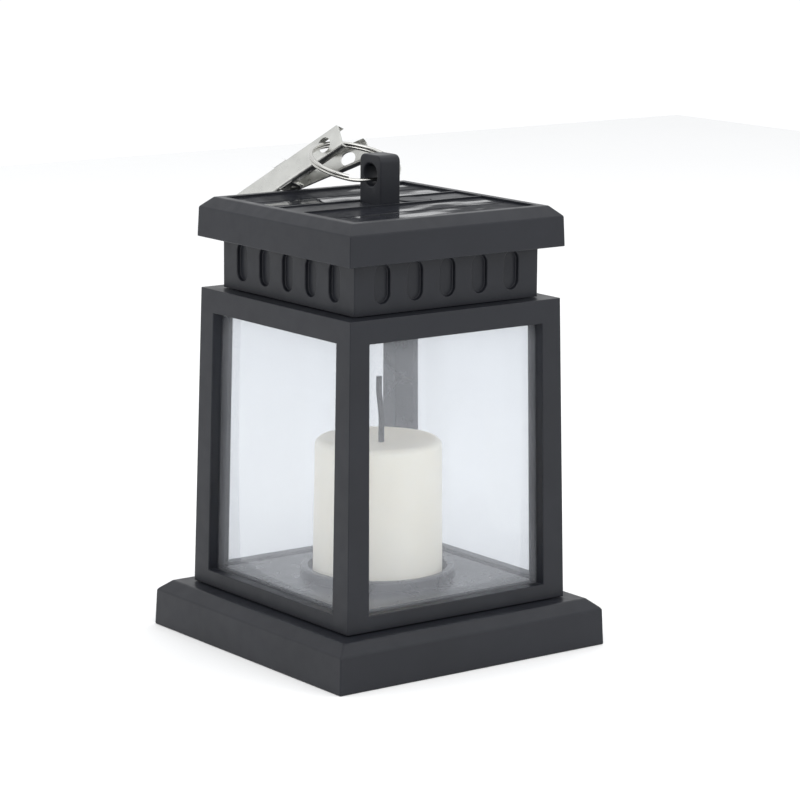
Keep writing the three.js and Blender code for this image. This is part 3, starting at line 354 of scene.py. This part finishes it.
def solar_cell_resin():
    """Near-black cells with faint silver fingers, under clear glossy resin."""
    paint = Paint("solar_cell_resin", {
        "Coat Roughness": 0.03,
        "Coat IOR": 1.5,
        "IOR": 1.04,
        "Roughness": 0.35,
    })
    fingers = paint.nodes.new("ShaderNodeTexWave")
    fingers.wave_type = "BANDS"
    fingers.bands_direction = "X"
    fingers.inputs["Scale"].default_value = 220
    paint.links.new(paint.place, fingers.inputs["Vector"])
    lines = paint.spread(fingers.outputs["Fac"], 0, 0.3, 0.9, 1.0)
    crystals = paint.nodes.new("ShaderNodeTexVoronoi")
    crystals.inputs["Scale"].default_value = 300
    paint.links.new(paint.place, crystals.inputs["Vector"])
    depth = paint.spread(crystals.outputs["Distance"], 0, 1, 0, 0.6)
    flakes = paint.mix(depth, (0.009, 0.0095, 0.012), (0.015, 0.016, 0.020))
    paint.feed(paint.mix(lines, flakes, (0.06, 0.063, 0.07)), "Base Color")
    swell = paint.bump(paint.noise(110, 1), 0.12, 0.0004)
    paint.links.new(swell, paint.shader.inputs["Coat Normal"])
    film = paint.noise(38, 3, paint.mapped((1, 3.2, 1)))
    paint.feed(paint.spread(film, 0.03, 0.9, 0.5, 0.6), "Coat Weight")
    paint.feed(paint.spread(paint.noise(300, 2), 0.3, 0.42), "Roughness")
    return paint.material


def circuit_laminate():
    """Green solder mask with paler copper tracks showing under it."""
    paint = Paint("circuit_laminate", {"Coat Weight": 0.4, "Coat Roughness": 0.2})
    tracks = paint.nodes.new("ShaderNodeTexWave")
    tracks.inputs["Scale"].default_value = 90
    tracks.inputs["Distortion"].default_value = 6
    paint.links.new(paint.place, tracks.inputs["Vector"])
    amount = paint.spread(tracks.outputs["Fac"], 0, 0.7, 0.6, 0.65)
    paint.feed(paint.mix(amount, (0.015, 0.10, 0.035), (0.05, 0.22, 0.09)), "Base Color")
    paint.feed(paint.spread(paint.noise(600), 0.3, 0.45), "Roughness")
    paint.feed(paint.bump(tracks.outputs["Fac"], 0.2, 0.00003), "Normal")
    return paint.material


def plain_floor():
    """An even pale floor with only the faintest clouding."""
    paint = Paint("pale_floor", {"Roughness": 0.9, "Specular IOR Level": 0.2})
    paint.feed(paint.mix(paint.noise(3, 1), (0.9, 0.9, 0.9), (0.92, 0.92, 0.92)), "Base Color")
    return paint.material


BLACK = (0.0105, 0.0117, 0.0160)
black_plastic = moulded_plastic("black_plastic", BLACK, 0.42)
inner_plastic = moulded_plastic(
    "inner_plastic", scaled(BLACK, 1.15), 0.3, 0.06, {"Specular IOR Level": 0.6}, 0.012)
button_plastic = moulded_plastic("button_plastic", scaled(BLACK, 1.15), 0.48)
wick_plastic = moulded_plastic("wick_plastic", (0.035, 0.035, 0.038), 0.55, 0.3)
white_plastic = moulded_plastic("white_plastic", (0.6, 0.6, 0.58), 0.4)
pale_floor = plain_floor()
pane_clear = clear_pane()
candle_wax = wax()
nickel = plated_steel("nickel", (0.58, 0.58, 0.555), 0.3)
ring_steel = plated_steel("ring_steel", (0.55, 0.545, 0.52), 0.18, 0.15)
zinc = plated_steel("zinc", (0.6, 0.61, 0.63), 0.34)
solar_cells = solar_cell_resin()
laminate = circuit_laminate()
red_insulation = moulded_plastic("red_insulation", (0.45, 0.02, 0.02), 0.4)
black_insulation = moulded_plastic("black_insulation", (0.02, 0.02, 0.021), 0.4)
battery_sleeve = moulded_plastic("battery_sleeve", (0.03, 0.22, 0.12), 0.3, 0.05)
diode_resin = moulded_plastic(
    "diode_resin", (0.85, 0.72, 0.4), 0.12, 0.02, {"Subsurface Weight": 0.4, "Subsurface Scale": 0.002})

# ---------------------------------------------------------------- making meshes


def finished(name, bm, material, body, stands_for=(), smooth=SHARP):
    """bm as a piece that rides on body and stands for those CAD nodes."""
    bmesh.ops.recalc_face_normals(bm, faces=bm.faces)
    for face in bm.faces:
        face.smooth = True
    for edge in bm.edges:
        edge.smooth = edge.is_manifold and edge.calc_face_angle(0) < smooth
    bmesh.ops.scale(bm, vec=(MM, MM, MM), verts=bm.verts)
    mesh = bpy.data.meshes.new(name)
    bm.to_mesh(mesh)
    bm.free()
    mesh.materials.append(material)
    piece = bpy.data.objects.new(name, mesh)
    bpy.context.scene.collection.objects.link(piece)
    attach(piece, body)
    if stands_for:
        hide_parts(*stands_for)
    return piece


def even_shading(piece):
    """Keeps wide flat faces flat beside narrow rounded edges."""
    modifier = piece.modifiers.new("even_shading", "WEIGHTED_NORMAL")
    modifier.keep_sharp = True


def filleted(points, radius, steps=4, closed=False):
    """A polyline with each corner rounded to radius, or less where its sides are short."""
    points = [Vector(p) for p in points]
    count = len(points)
    result = []
    for i, corner in enumerate(points):
        if not closed and i in (0, count - 1):
            result.append(corner)
            continue
        before = points[i - 1] - corner
        after = points[(i + 1) % count] - corner
        half = before.angle(after) / 2
        if half > math.radians(89.5) or radius <= 0:
            result.append(corner)
            continue
        reach = min(radius / math.tan(half), before.length * 0.45, after.length * 0.45)
        start = corner + before.normalized() * reach
        end = corner + after.normalized() * reach
        for step in range(steps + 1):
            t = step / steps
            result.append(start * (1 - t) ** 2 + corner * 2 * t * (1 - t) + end * t ** 2)
    return result


def lathe(profile, steps=64):
    """profile's (radius, height) points turned round Z. It closes on itself or ends on the axis."""
    bm = bmesh.new()
    rings = []
    for r, z in profile:
        if r < 1e-6:
            rings.append([bm.verts.new((0, 0, z))])
            continue
        angles = [2 * math.pi * k / steps for k in range(steps)]
        rings.append([bm.verts.new((r * math.cos(a), r * math.sin(a), z)) for a in angles])
    if len(rings[0]) > 1:
        rings.append(rings[0])
    for low, high in zip(rings, rings[1:]):
        for k in range(steps):
            k2 = (k + 1) % steps
            corners = [low[k % len(low)], low[k2 % len(low)], high[k2 % len(high)], high[k % len(high)]]
            unique = list(dict.fromkeys(corners))
            if len(unique) > 2:
                bm.faces.new(unique)
    return bm


def tube(path, radius, sides=12, section=None):
    """A round wire, or one of that closed section, along path, with flat ends."""
    path = [Vector(p) for p in path]
    if section is None:
        turns = [2 * math.pi * k / sides for k in range(sides)]
        section = [(radius * math.cos(a), radius * math.sin(a)) for a in turns]
    bm = bmesh.new()
    rings = []
    side = None
    for i, point in enumerate(path):
        direction = (path[min(i + 1, len(path) - 1)] - path[max(i - 1, 0)]).normalized()
        if side is None:
            side = direction.orthogonal().normalized()
        side = (side - direction * side.dot(direction)).normalized()
        other = direction.cross(side)
        rings.append([bm.verts.new(point + side * a + other * b) for a, b in section])
    for low, high in zip(rings, rings[1:]):
        for k in range(len(section)):
            k2 = (k + 1) % len(section)
            bm.faces.new((low[k], low[k2], high[k2], high[k]))
    bm.faces.new(rings[0])
    bm.faces.new(reversed(rings[-1]))
    return bm


def smoothed_path(points, steps=8):
    """A Catmull-Rom curve through points."""
    points = [Vector(p) for p in points]
    ends = [2 * points[0] - points[1], *points, 2 * points[-1] - points[-2]]
    path = []
    for a, b, c, d in zip(ends, ends[1:], ends[2:], ends[3:]):
        for step in range(steps):
            t = step / steps
            path.append(0.5 * (2 * b + (c - a) * t + (2 * a - 5 * b + 4 * c - d) * t ** 2
                               + (3 * b - a - 3 * c + d) * t ** 3))
    path.append(points[-1])
    return path


def prism(outline, low, high):
    """A flat (x, y) outline raised from z low to z high."""
    bm = bmesh.new()
    bottom = [bm.verts.new((p[0], p[1], low)) for p in outline]
    top = [bm.verts.new((p[0], p[1], high)) for p in outline]
    bm.faces.new(reversed(bottom))
    bm.faces.new(top)
    for k in range(len(outline)):
        k2 = (k + 1) % len(outline)
        bm.faces.new((bottom[k], bottom[k2], top[k2], top[k]))
    return bm


def block(low, high):
    x0, y0, z0 = low
    x1, y1, z1 = high
    return prism([(x0, y0), (x1, y0), (x1, y1), (x0, y1)], z0, z1)


def turned_mesh(bm, matrix):
    bmesh.ops.transform(bm, matrix=matrix, verts=bm.verts)
    return bm


def together(first, *others):
    """Several closed meshes as one."""
    for other in others:
        mesh = bpy.data.meshes.new("part")
        other.to_mesh(mesh)
        other.free()
        first.from_mesh(mesh)
        bpy.data.meshes.remove(mesh)
    return first


def cut_from(base, other):
    """base with other cut from it."""
    pair = []
    for bm in (base, other):
        bmesh.ops.recalc_face_normals(bm, faces=bm.faces)
        mesh = bpy.data.meshes.new("operand")
        bm.to_mesh(mesh)
        bm.free()
        operand = bpy.data.objects.new("operand", mesh)
        bpy.context.scene.collection.objects.link(operand)
        pair.append(operand)
    modifier = pair[0].modifiers.new("combine", "BOOLEAN")
    modifier.operation = "DIFFERENCE"
    modifier.solver = "EXACT"
    modifier.object = pair[1]
    seen = pair[0].evaluated_get(bpy.context.evaluated_depsgraph_get())
    result = bmesh.new()
    result.from_mesh(seen.to_mesh())
    seen.to_mesh_clear()
    for operand in pair:
        mesh = operand.data
        bpy.data.objects.remove(operand)
        bpy.data.meshes.remove(mesh)
    return result


def rounded_edges(bm, width, segments=3, sharp=SHARP, pick=None):
    """Rounds the edges sharper than sharp, or those of them that pick chooses."""
    edges = [e for e in bm.edges if e.is_manifold and e.calc_face_angle(0) > sharp]
    if pick is not None:
        edges = [e for e in edges if pick(e)]
    bmesh.ops.bevel(
        bm, geom=edges, offset=width, offset_type="OFFSET", segments=segments, profile=0.5,
        affect="EDGES", clamp_overlap=False, loop_slide=True)
    return bm


def cad_mesh(node):
    """A CAD node's mesh in millimetres, welded, with its flat faces whole."""
    bm = bmesh.new()
    bm.from_mesh(nodes[node].data)
    bm.transform(nodes[node].matrix_world)
    bmesh.ops.scale(bm, vec=(1 / MM, 1 / MM, 1 / MM), verts=bm.verts)
    bmesh.ops.remove_doubles(bm, verts=bm.verts, dist=0.002)
    bmesh.ops.dissolve_limit(bm, angle_limit=math.radians(0.6), verts=bm.verts, edges=bm.edges)
    return bm


def moulding(node, width, material=None):
    """A CAD node with its edges rounded, as a moulded piece that stands for it."""
    bm = rounded_edges(cad_mesh(node), width)
    piece = finished(node + "_moulded", bm, material or black_plastic, "lantern", [node])
    even_shading(piece)
    return piece


def box_mm(node):
    low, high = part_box(node)
    return low / MM, high / MM


def middle(node):
    low, high = box_mm(node)
    return (low + high) / 2


# ---------------------------------------------------------------- housing


def make_housing():
    moulding("base_plinth", 0.45)
    moulding("bottom_cover", 0.25)
    moulding("cage_frame", 0.28)
    moulding("wire_channel", 0.25, inner_plastic)
    moulding("neck_shell", 0.28)
    make_roof()
    make_lug()
    moulding("candle_floor", 0.2, inner_plastic)


def make_roof():
    """Generous rounding outside, and crisp edges round the pockets, whose ribs stand just below the rim."""
    def outside(edge):
        return all(max(abs(v.co.x), abs(v.co.y)) > ROOF_OUTSIDE_FROM for v in edge.verts)

    bm = rounded_edges(cad_mesh("roof_shell"), ROOF_OUTER_ROUNDING, pick=outside)
    bm = rounded_edges(bm, ROOF_INNER_ROUNDING, 2, pick=lambda edge: not outside(edge))
    even_shading(finished("roof_shell_moulded", bm, black_plastic, "lantern", ["roof_shell"]))


def make_lug():
    """The upright lug, as rings of points that run round its hole, out over its face and down its edge."""
    edge = LUG_EDGE
    bottom = box_mm("roof_shell")[1].z - LUG_FOOT_DEPTH
    y, top = LUG_HALF_Y, box_mm("hanging_lug")[1].z
    outline = filleted([(-y, bottom), (y, bottom), (y, top), (-y, top)], LUG_CORNER, 12, closed=True)
    centre = Vector((0, LUG_HOLE_Z))
    closed = outline + outline[:1]
    dense = [a.lerp(b, k / 6) for a, b in zip(closed, closed[1:]) for k in range(6)]
    count = len(dense)
    outward = []
    for k in range(count):
        along = (dense[(k + 1) % count] - dense[k - 1]).normalized()
        outward.append(Vector((along.y, -along.x)))
    bm = bmesh.new()
    rings = []
    from_hole = [(p - centre).normalized() for p in dense]
    steps = [math.pi / 2 * k / 5 for k in range(6)]
    for side in (1, -1):
        rim = [(side * (LUG_HALF_X - edge + edge * math.sin(a)), edge * (1 - math.cos(a))) for a in steps]
        inner = [(x, [centre + d * (LUG_HOLE_R + out) for d in from_hole]) for x, out in rim]
        rim_inside = inner[-1][1]
        rim_outside = [dense[k] - outward[k] * edge for k in range(count)]
        face = []
        for t in (0.33, 0.66):
            face.append((side * LUG_HALF_X, [a.lerp(b, t) for a, b in zip(rim_inside, rim_outside)]))
        outer = [(x, [dense[k] - outward[k] * out for k in range(count)]) for x, out in reversed(rim)]
        rows = inner + face + outer
        for x, places in rows if side == 1 else rows[::-1]:
            rings.append([bm.verts.new((x, p.x, p.y)) for p in places])
    rings.append(rings[0])
    for low, high in zip(rings, rings[1:]):
        for k in range(count):
            bm.faces.new((low[k], low[(k + 1) % count], high[(k + 1) % count], high[k]))
    foot_top = bottom + LUG_FOOT_OVERLAP
    foot = cad_mesh("hanging_lug")
    bmesh.ops.bisect_plane(
        foot, geom=[*foot.verts, *foot.edges, *foot.faces], plane_co=(0, 0, foot_top), plane_no=(0, 0, 1),
        clear_outer=True)
    bmesh.ops.holes_fill(foot, edges=[e for e in foot.edges if e.is_boundary])
    lug = together(bm, foot)
    even_shading(finished("hanging_lug_moulded", lug, black_plastic, "lantern", ["hanging_lug"]))


def make_panes():
    for side in ("front_right", "back_right", "back_left", "front_left"):
        node = "window_pane_" + side
        bm = rounded_edges(cad_mesh(node), 0.12, 2)
        finished(node + "_clear", bm, pane_clear, "lantern", [node])


# ---------------------------------------------------------------- candle


def make_candle():
    low, high = box_mm("candle_shell")
    bottom, top = low.z, high.z
    rim = CANDLE_R_TOP - CANDLE_EDGE
    dish = [(rim * t, top - CANDLE_DISH * (1 - t ** 2.2)) for t in (0.97, 0.85, 0.7, 0.5, 0.3, 0.15)]
    under = top - CANDLE_DISH - CANDLE_WALL
    edge = [(math.pi / 2) * i / 8 for i in range(9)]
    foot_top = bottom + CANDLE_FOOT
    foot = [(CANDLE_R_BOTTOM - 0.8, bottom), (CANDLE_R_BOTTOM, bottom), (CANDLE_R_BOTTOM, foot_top)]
    outer = filleted(foot, 0.5)
    taper = CANDLE_R_TOP - CANDLE_R_BOTTOM
    wall_height = top - CANDLE_EDGE - foot_top
    heights = [k / 12 for k in range(1, 12)]
    wall = [(CANDLE_R_BOTTOM + taper * t, foot_top + wall_height * t) for t in heights]
    profile = [tuple(p) for p in outer] + wall
    shoulder = top - CANDLE_EDGE
    profile += [(rim + CANDLE_EDGE * math.cos(a), shoulder + CANDLE_EDGE * math.sin(a)) for a in edge]
    profile += dish
    profile += [(WICK_R + 0.3, top - CANDLE_DISH), (WICK_R + 0.3, under)]
    profile += [(CANDLE_R_TOP - CANDLE_WALL - 1, under + 0.4), (CANDLE_R_TOP - CANDLE_WALL, under - 1)]
    profile += [(CANDLE_R_BOTTOM - CANDLE_WALL, bottom)]
    bm = lathe(profile, 128)
    for vert in bm.verts:
        r = vert.co.xy.length
        upper = max(0.0, (vert.co.z - under - 1) / (top - under - 1))
        if r < 2:
            vert.co.xy += Vector(WICK_FOOT)
            continue
        sway = noise.noise(Vector((vert.co.x * 0.09, vert.co.y * 0.09, 3.0)))
        vert.co.z -= upper * (0.18 + 0.3 * sway)
        push = 1 - 0.004 * (0.5 + noise.noise(vert.co * 0.11))
        vert.co.xy = vert.co.xy * push
    finished("candle_shell_wax", bm, candle_wax, "lantern", ["candle_shell"])


def make_wick():
    low, high = box_mm("candle_wick")
    candle_top = low.z + 2.6
    bend = [(a + b) / 2 for a, b in zip(WICK_FOOT, WICK_TIP)]
    route = [
        (*WICK_FOOT, low.z + 0.1),
        (*WICK_FOOT, candle_top + 2),
        (*WICK_FOOT, candle_top + 6),
        (*bend, candle_top + 9.5),
        (*WICK_TIP, candle_top + 13),
        (*WICK_TIP, high.z - 0.02),
    ]
    bm = rounded_edges(tube(smoothed_path(route, 14), WICK_R, 24), 0.12, 2, math.radians(50))
    for vert in bm.verts:
        swell = 0.012 * noise.noise(vert.co * 1.1)
        vert.co.xy *= 1 + swell
    finished("candle_wick_moulded", bm, wick_plastic, "lantern", ["candle_wick"], smooth=math.radians(60))


def make_diode():
    low, high = box_mm("candle_led")
    r = DIODE_R
    flange = DIODE_FLANGE_R
    dome = [(r * math.cos(a), high.z - r + r * math.sin(a)) for a in [math.pi / 2 * i / 8 for i in range(8)]]
    skirt = filleted([(0, low.z), (flange, low.z), (flange, low.z + 1), (r, low.z + 1)], 0.15, 2)
    bm = lathe([tuple(p) for p in skirt] + dome + [(0, high.z)], 40)
    finished("candle_led_dome", bm, diode_resin, "lantern", ["candle_led"])
    board = rounded_edges(lathe([(0, 0), (9, 0), (9, 1.2), (0, 1.2)], 64), 0.12, 2)
    turned_mesh(board, Matrix.Translation((0, 0, box_mm("led_board")[0].z)))
    finished("led_board_disc", board, laminate, "lantern", ["led_board"])


# ---------------------------------------------------------------- roof pieces


def make_solar_panel(node):
    """A resin slab with softly rolled edges, and a sunk seam between its two rows of cells."""
    low, high = box_mm(node)
    centre = (low + high) / 2
    half = (high - low) / 2
    seam_half = 0.35
    seam_depth = 0.3
    outline = filleted(
        [(low.x, low.y), (high.x, low.y), (high.x, high.y), (low.x, high.y)], 0.5, 4, closed=True)
    slab = prism(outline, low.z, high.z)
    seam = block(
        (centre.x - half.x + SEAM_END, centre.y - seam_half, high.z - seam_depth),
        (centre.x + half.x - SEAM_END, centre.y + seam_half, high.z + 1),
    )
    slab = rounded_edges(cut_from(slab, seam), 0.12, 3, math.radians(50))
    even_shading(finished(node + "_cells", slab, solar_cells, "lantern", [node]))


def make_button():
    low, high = box_mm("power_button")
    centre = middle("power_button")
    flange = (high.x - low.x) / 2
    flange_top = low.z + BUTTON_FLANGE_HEIGHT
    corners = [
        (0, low.z),
        (flange, low.z),
        (flange, flange_top),
        (BUTTON_R, flange_top),
        (BUTTON_R, high.z - 0.15),
    ]
    skirt = [tuple(p) for p in filleted([*corners, (BUTTON_R - 1.2, high.z)], 0.45, 4)]
    crown = [(3.2, high.z - 0.02), (2.6, high.z - 0.1), (1.6, high.z - 0.18), (0, high.z - 0.2)]
    bm = turned_mesh(lathe(skirt + crown, 64), Matrix.Translation((centre.x, centre.y, 0)))
    finished("power_button_cap", bm, button_plastic, "button", ["power_button"])
    low, high = box_mm("switch_plunger")
    r = (high.x - low.x) / 2
    rod = rounded_edges(lathe([(0, low.z), (r, low.z), (r, high.z), (0, high.z)], 32), 0.15, 2)
    turned_mesh(rod, Matrix.Translation((centre.x, centre.y, 0)))
    finished("switch_plunger_rod", rod, white_plastic, "button", ["switch_plunger"])


# ---------------------------------------------------------------- screws


def screw_mesh(length, head_height):
    """A cross-recessed pan-head screw that points up, its head's seat at z 0, with a helical thread."""
    head_r = SCREW_HEAD_R
    root_r = SCREW_ROOT_R
    spiral_r = SCREW_SPIRAL_R
    pitch = SCREW_PITCH
    crown = [
        (0, -head_height),
        (head_r * 0.55, -head_height),
        (head_r * 0.86, -head_height * 0.78),
        (head_r, -head_height * 0.4),
        (head_r, -0.02),
        (root_r, -0.02),
        (root_r, length - 1),
        (0, length),
    ]
    body = lathe(crown, 40)
    arm = 0.22
    reach = 1.05
    for low, high in (((-arm, -reach), (arm, reach)), ((-reach, -arm), (reach, arm))):
        slot = block((*low, -head_height - 1), (*high, -head_height * 0.45))
        body = cut_from(body, slot)
    turns = max(1.0, (length - 1.6) / pitch)
    steps = int(turns * 24)
    spiral = []
    for k in range(steps + 1):
        angle = 2 * math.pi * turns * k / steps
        z = 0.5 + pitch * turns * k / steps
        spiral.append((spiral_r * math.cos(angle), spiral_r * math.sin(angle), z))
    depth = SCREW_THREAD_R - spiral_r
    ridge = tube(spiral, 0, section=[(-0.17, -0.17), (depth, 0), (0.17, 0.17), (0, depth)])
    return together(body, ridge)


def make_screws():
    upright = {"base_screw": 4, "cage_screw": 4, "lug_screw": 2}
    hanging = {"board_screw": 2, "neck_screw": 2}
    flip = Matrix.Rotation(math.pi, 4, "X")
    for kinds, turn in ((upright, Matrix.Identity(4)), (hanging, flip)):
        for kind, count in kinds.items():
            head = 0.8 if kind == "base_screw" else 1.2
            for number in range(1, count + 1):
                node = "%s_%d" % (kind, number)
                low, high = box_mm(node)
                bm = turned_mesh(screw_mesh(high.z - low.z - head, head), turn)
                seat = low.z + head if turn is not flip else high.z - head
                turned_mesh(bm, Matrix.Translation((*middle(node).xy, seat)))
                finished(node + "_threaded", bm, zinc, "lantern", [node])


# ---------------------------------------------------------------- electronics


def make_battery():
    low, high = box_mm("battery_cell")
    r = CELL_R
    length = high.x - low.x
    sleeve_end = length - CELL_NIPPLE
    profile = [tuple(p) for p in filleted([(0, 0), (r, 0), (r, sleeve_end), (3.6, sleeve_end)], 0.45, 4)]
    nipple = [tuple(p) for p in filleted(
        [(3.2, sleeve_end - 0.2), (1.9, sleeve_end - 0.2), (1.9, length), (0, length)], 0.3, 4)]
    bm = lathe(profile + nipple, 64)
    axis_at = Matrix.Translation((low.x, (low.y + high.y) / 2, low.z + r))
    place = axis_at @ Matrix.Rotation(math.pi / 2, 4, "Y")
    finished("battery_cell_sleeved", turned_mesh(bm, place), battery_sleeve, "lantern", ["battery_cell"])


def make_battery_contacts():
    low, high = box_mm("battery_contact_spring")
    centre = middle("battery_cell")
    turns = CONTACT_COIL_TURNS
    steps = 90
    path = []
    for k in range(steps + 1):
        t = k / steps
        r = 3.55 - 1.4 * t
        angle = 2 * math.pi * turns * t
        x = low.x + 0.35 + (high.x - low.x - 0.7) * t
        path.append((x, centre.y + r * math.cos(angle), low.z + 3.6 + r * math.sin(angle)))
    bm = tube(path, CONTACT_WIRE_R, 12)
    finished("battery_contact_spring_wire", bm, nickel, "lantern", ["battery_contact_spring"])
    bm = rounded_edges(cad_mesh("battery_contact_positive"), 0.12, 2)
    finished("battery_contact_positive_tab", bm, nickel, "lantern", ["battery_contact_positive"])
    moulding("battery_holder", 0.2, inner_plastic)
    moulding("button_switch", 0.2, inner_plastic)


# The circuit board's chips: the middle, the width and depth, and the height, in millimetres.
CHIPS = [
    ((-9, -8), (5, 4), 1.5),
    ((3, -17), (3.2, 1.6), 0.6),
    ((-3, -17), (3.2, 1.6), 0.6),
    ((9, -9), (1.6, 3), 0.8),
]


def make_circuit_board():
    bm = rounded_edges(cad_mesh("circuit_board"), 0.1, 2)
    finished("circuit_board_sheet", bm, laminate, "lantern", ["circuit_board"])
    under = box_mm("circuit_board")[0].z - CHIP_GAP
    parts = []
    for (x, y), (width, depth), height in CHIPS:
        chip = block((x - width / 2, y - depth / 2, under - height), (x + width / 2, y + depth / 2, under))
        parts.append(rounded_edges(chip, 0.12, 2))
    coil = lathe([tuple(p) for p in filleted([(0, -4), (2.6, -4), (2.6, 0), (0, 0)], 0.3, 3)], 40)
    parts.append(turned_mesh(coil, Matrix.Translation((-2, -9, under))))
    finished("circuit_components", together(*parts), inner_plastic, "lantern")


def make_leads():
    for node, material in (
        ("led_lead_red", red_insulation),
        ("led_lead_black", black_insulation),
        ("panel_lead_front", red_insulation),
        ("panel_lead_back", black_insulation),
    ):
        nodes[node].data.materials.clear()
        nodes[node].data.materials.append(material)


# ---------------------------------------------------------------- split ring


def ring_point(angle, axial, radial=0.0):
    """A point on the ring, with angle 0 at the side away from the lug."""
    r = RING_R + radial
    flat = Vector((r * math.sin(angle), RING_R + r * math.cos(angle), axial))
    return RING_PIVOT + Matrix.Rotation(RING_TILT, 3, "X") @ flat


def make_split_ring():
    """Two turns of flattened spring wire that cross once, where both ends lie."""
    radial = RING_HALF_RADIAL
    layer = RING_HALF_LAYER
    cross_at = RING_CROSS_AT
    cross_half = RING_CROSS_HALF
    steps = 260
    start = cross_at + cross_half + math.radians(2)
    sweep = 4 * math.pi - 2 * (cross_half + math.radians(2))
    section = filleted(
        [(-radial, -layer), (radial, -layer), (radial, layer), (-radial, layer)], 0.38, 4, closed=True)
    bm = bmesh.new()
    rings = []
    for k in range(steps + 1):
        angle = start + sweep * k / steps
        past = (angle - (cross_at + 2 * math.pi)) / cross_half
        t = min(1.0, max(0.0, (past + 1) / 2))
        lift = layer * (1 - 2 * (3 * t * t - 2 * t ** 3))
        rings.append([bm.verts.new(ring_point(angle, lift + p[1] * 0.97, p[0])) for p in section])
    for low, high in zip(rings, rings[1:]):
        for k in range(len(section)):
            k2 = (k + 1) % len(section)
            bm.faces.new((low[k], low[k2], high[k2], high[k]))
    bm.faces.new(rings[0])
    bm.faces.new(reversed(rings[-1]))
    finished("split_ring_coil", bm, ring_steel, "ring", ["split_ring"])


# ---------------------------------------------------------------- spring clip


def clip_frame():
    """The clip's axes: X from handle to jaw, Y along the pin and Z from the upper plate to the lever."""
    across = (CLIP_ACROSS - CLIP_ALONG * CLIP_ACROSS.dot(CLIP_ALONG)).normalized()
    through = across.cross(CLIP_ALONG)
    hole_angle = math.asin(-CLIP_HOLE_X / RING_R)
    reach = RING_R * (1 + math.cos(hole_angle))
    hole = RING_PIVOT + Vector((CLIP_HOLE_X, reach * math.cos(RING_TILT), reach * math.sin(RING_TILT)))
    origin = hole - CLIP_ALONG * CLIP_HOLE_FROM_END
    turn = Matrix((CLIP_ALONG, -across, through)).transposed()
    return Matrix.Translation(origin) @ turn.to_4x4()


CLIP_PLACE = clip_frame()


def make_plates():
    """The two folded plates, with their sheared edges slightly rounded."""
    for node, body in (("clip_upper_plate", "clip"), ("clip_lower_plate", "clip_lever")):
        bm = rounded_edges(cad_mesh(node), 0.09, 2, math.radians(50))
        even_shading(finished(node + "_pressed", bm, nickel, body, [node]))


def make_pin():
    shoulder = CLIP_WIDTH / 2 + 0.05
    head_r = CLIP_PIN_R + 0.3
    cap = [
        (head_r, shoulder),
        (head_r, shoulder + 0.1),
        (head_r * 0.8, shoulder + 0.23),
        (0.4, shoulder + 0.29),
    ]
    upper = [(CLIP_PIN_R, shoulder), *cap, (0, shoulder + 0.3)]
    lower = [(r, -y) for r, y in reversed(upper)]
    bm = lathe(lower + upper, 40)
    upright = Matrix.Translation((CLIP_PIVOT_U, 0, CLIP_PIVOT_N)) @ Matrix.Rotation(-math.pi / 2, 4, "X")
    turned_mesh(bm, CLIP_PLACE @ upright)
    finished("clip_pin_rivet", bm, nickel, "clip", ["clip_pin"])


def make_spring():
    coil_r = SPRING_R
    turns = SPRING_TURNS
    half_width = SPRING_HALF_WIDTH
    steps = int(turns * 28)
    leg_start = CLIP_PIVOT_U - 3
    path = [Vector((SPRING_LEG_END, -half_width, SPRING_LEG_LOW)), Vector((leg_start, -half_width, 1.45))]
    for k in range(steps + 1):
        angle = -math.pi / 2 + 2 * math.pi * turns * k / steps
        y = -half_width + 2 * half_width * k / steps
        path.append(Vector((
            CLIP_PIVOT_U + coil_r * math.cos(angle), y, CLIP_PIVOT_N + coil_r * math.sin(angle))))
    path += [Vector((leg_start, half_width, 5.77)), Vector((SPRING_LEG_END, half_width, SPRING_LEG_HIGH))]
    bm = turned_mesh(tube(path, SPRING_WIRE_R, 10), CLIP_PLACE)
    finished("clip_spring_coil", bm, nickel, "clip", ["clip_spring"])


# ---------------------------------------------------------------- the whole lantern

add_camera()
add_studio()
add_floor(pale_floor)
make_housing()
make_panes()
make_candle()
make_wick()
make_diode()
for panel in ("solar_panel_front", "solar_panel_back"):
    make_solar_panel(panel)
make_button()
make_screws()
make_battery()
make_battery_contacts()
make_circuit_board()
make_leads()
make_split_ring()
make_plates()
make_pin()
make_spring()
